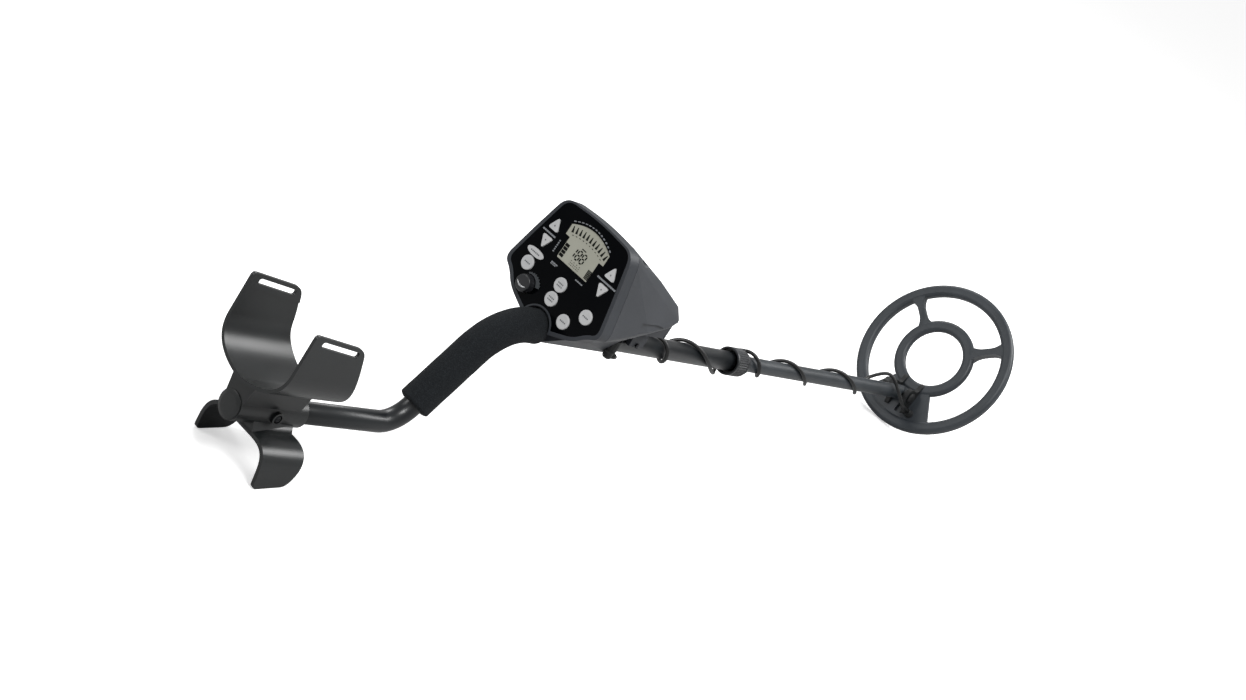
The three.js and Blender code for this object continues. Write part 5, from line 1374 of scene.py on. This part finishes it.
# ------------------------------------------------------------------ kept nodes, stage and camera
KEPT = {"rod_coat": ROD_COAT, "eva_foam": FOAM, "armrest_plastic": ARM, "housing_plastic": HOUSING,
        "panel_gloss": PANEL, "key_rubber": KEY, "lcd_glass": LCD, "module": MODULE, "board": BOARD,
        "black_rubber": RUBBER, "copper": COPPER, "steel": BLACK_STEEL, "stem_plastic": STEM_F,
        "coil_plastic": COIL_F, "cell": CELL, "cable_jacket": JACKET}


def dress_kept_nodes() -> None:
    """Gives every solid that still shows the finish of its slot."""
    for part in frame["record"]["subparts"]:
        node = frame["nodes"][part["node"]]
        if node.hide_render:
            continue
        finish = KEPT[part["material_slot"]]
        if not node.data.materials:
            node.data.materials.append(finish.material())
        for spot in node.material_slots:
            spot.material = finish.material()
        LOG.info("%s keeps its solid", node.name)


@dataclass
class Studio:
    """Pale floor, soft lamps, pale surroundings and the camera."""

    floor_size: float = 14.0
    lens: float = 72.259
    camera_at: tuple = (-1872.106, -1344.711, 823.644)
    right: tuple = (0.567028, -0.634735, 0.524968)
    down: tuple = (0.099008, -0.580188, -0.808442)
    ahead: tuple = (0.817727, 0.510385, -0.266139)

    def floor(self) -> None:
        """A wide pale floor, lifted towards white for the camera and darker for what it lights."""
        n = self.floor_size
        obj = make_object("floor", np.array([[-n, -n, 0], [n, -n, 0], [n, n, 0], [-n, n, 0]]) - [0, 0, 0.0004],
                          [(0, 1, 2, 3)], False)
        mat = bpy.data.materials.new("floor")
        mat.use_nodes = True
        shader = next(x for x in mat.node_tree.nodes if x.type == "BSDF_PRINCIPLED")
        shader.inputs["Base Color"].default_value = (0.93, 0.93, 0.93, 1)
        shader.inputs["Roughness"].default_value = 0.9
        shader.inputs["Specular IOR Level"].default_value = 0.1
        shader.inputs["Emission Color"].default_value = (1, 1, 1, 1)
        path = mat.node_tree.nodes.new("ShaderNodeLightPath")
        lift = mat.node_tree.nodes.new("ShaderNodeMath")
        lift.operation = "MULTIPLY"
        lift.inputs[1].default_value = 0.5
        mat.node_tree.links.new(path.outputs["Is Camera Ray"], lift.inputs[0])
        mat.node_tree.links.new(lift.outputs[0], shader.inputs["Emission Strength"])
        shade = mat.node_tree.nodes.new("ShaderNodeMix")
        shade.data_type = "RGBA"
        shade.inputs[6].default_value = (0.5, 0.5, 0.5, 1)
        shade.inputs[7].default_value = (0.93, 0.93, 0.93, 1)
        mat.node_tree.links.new(path.outputs["Is Camera Ray"], shade.inputs[0])
        mat.node_tree.links.new(shade.outputs[2], shader.inputs["Base Color"])
        obj.data.materials.append(mat)

    def surroundings(self) -> None:
        """White for what is seen, softer for what lights or is mirrored."""
        world = bpy.data.worlds.new("surroundings")
        bpy.context.scene.world = world
        world.use_nodes = True
        tree = world.node_tree
        back = next(n for n in tree.nodes if n.type == "BACKGROUND")
        back.inputs["Color"].default_value = (1, 1, 1, 1)
        path = tree.nodes.new("ShaderNodeLightPath")
        pick = tree.nodes.new("ShaderNodeMath")
        pick.operation = "MULTIPLY_ADD"
        tree.links.new(path.outputs["Is Camera Ray"], pick.inputs[0])
        pick.inputs[1].default_value = 0.55
        pick.inputs[2].default_value = 0.45
        tree.links.new(pick.outputs[0], back.inputs["Strength"])

    def lamp(self, name: str, at: Sequence[float], aim: Sequence[float], size: float, power: float) -> None:
        """A square soft lamp that looks at a point."""
        data = bpy.data.lights.new(name, "AREA")
        data.size, data.energy = size, power
        obj = bpy.data.objects.new(name, data)
        bpy.context.scene.collection.objects.link(obj)
        look = Vector(aim) - Vector(at)
        obj.matrix_world = Matrix.Translation(at) @ look.to_track_quat("-Z", "Y").to_matrix().to_4x4()

    def camera(self) -> None:
        """The camera, placed from its position and directions in the rod's frame."""
        data = bpy.data.cameras.new("camera")
        data.lens, data.sensor_width, data.clip_end = self.lens, 36.0, 60.0
        obj = bpy.data.objects.new("camera", data)
        bpy.context.scene.collection.objects.link(obj)
        axes = ROD.matrix @ np.stack([self.right, -np.array(self.down), -np.array(self.ahead)], 1)
        place_at = Matrix([[*axes[i], 0] for i in range(3)] + [[0, 0, 0, 1]])
        obj.matrix_world = Matrix.Translation(ROD.out(np.array(self.camera_at))) @ place_at
        bpy.context.scene.camera = obj

    def build(self) -> None:
        """All of it."""
        self.camera()
        self.floor()
        self.surroundings()
        self.lamp("key", (-1.0, -1.3, 2.5), (0, 0, 0.1), 0.9, 44)
        self.lamp("window", (1.5, -0.7, 1.55), (-0.25, 0, 0.1), 1.1, 34)
        self.lamp("side", (-2.0, 1.4, 1.5), (-0.3, 0, 0.1), 0.8, 12)
        self.lamp("back", (1.0, 1.9, 1.8), (0.1, 0, 0.1), 0.9, 18)
        bpy.context.scene.view_settings.view_transform = "Standard"


def keep_sizes() -> None:
    """Imports json and does nothing more."""
    import json


def main() -> None:
    """Builds the studio and each sub-assembly in order."""
    Studio().build()
    for part in (Rod(), Armrest(), Housing(), Face(), Stem(), Coil(), Cable()):
        LOG.info("building %s", type(part).__name__)
        part.build()
    dress_kept_nodes()
    keep_sizes()


if __name__ == "__main__":
    main()
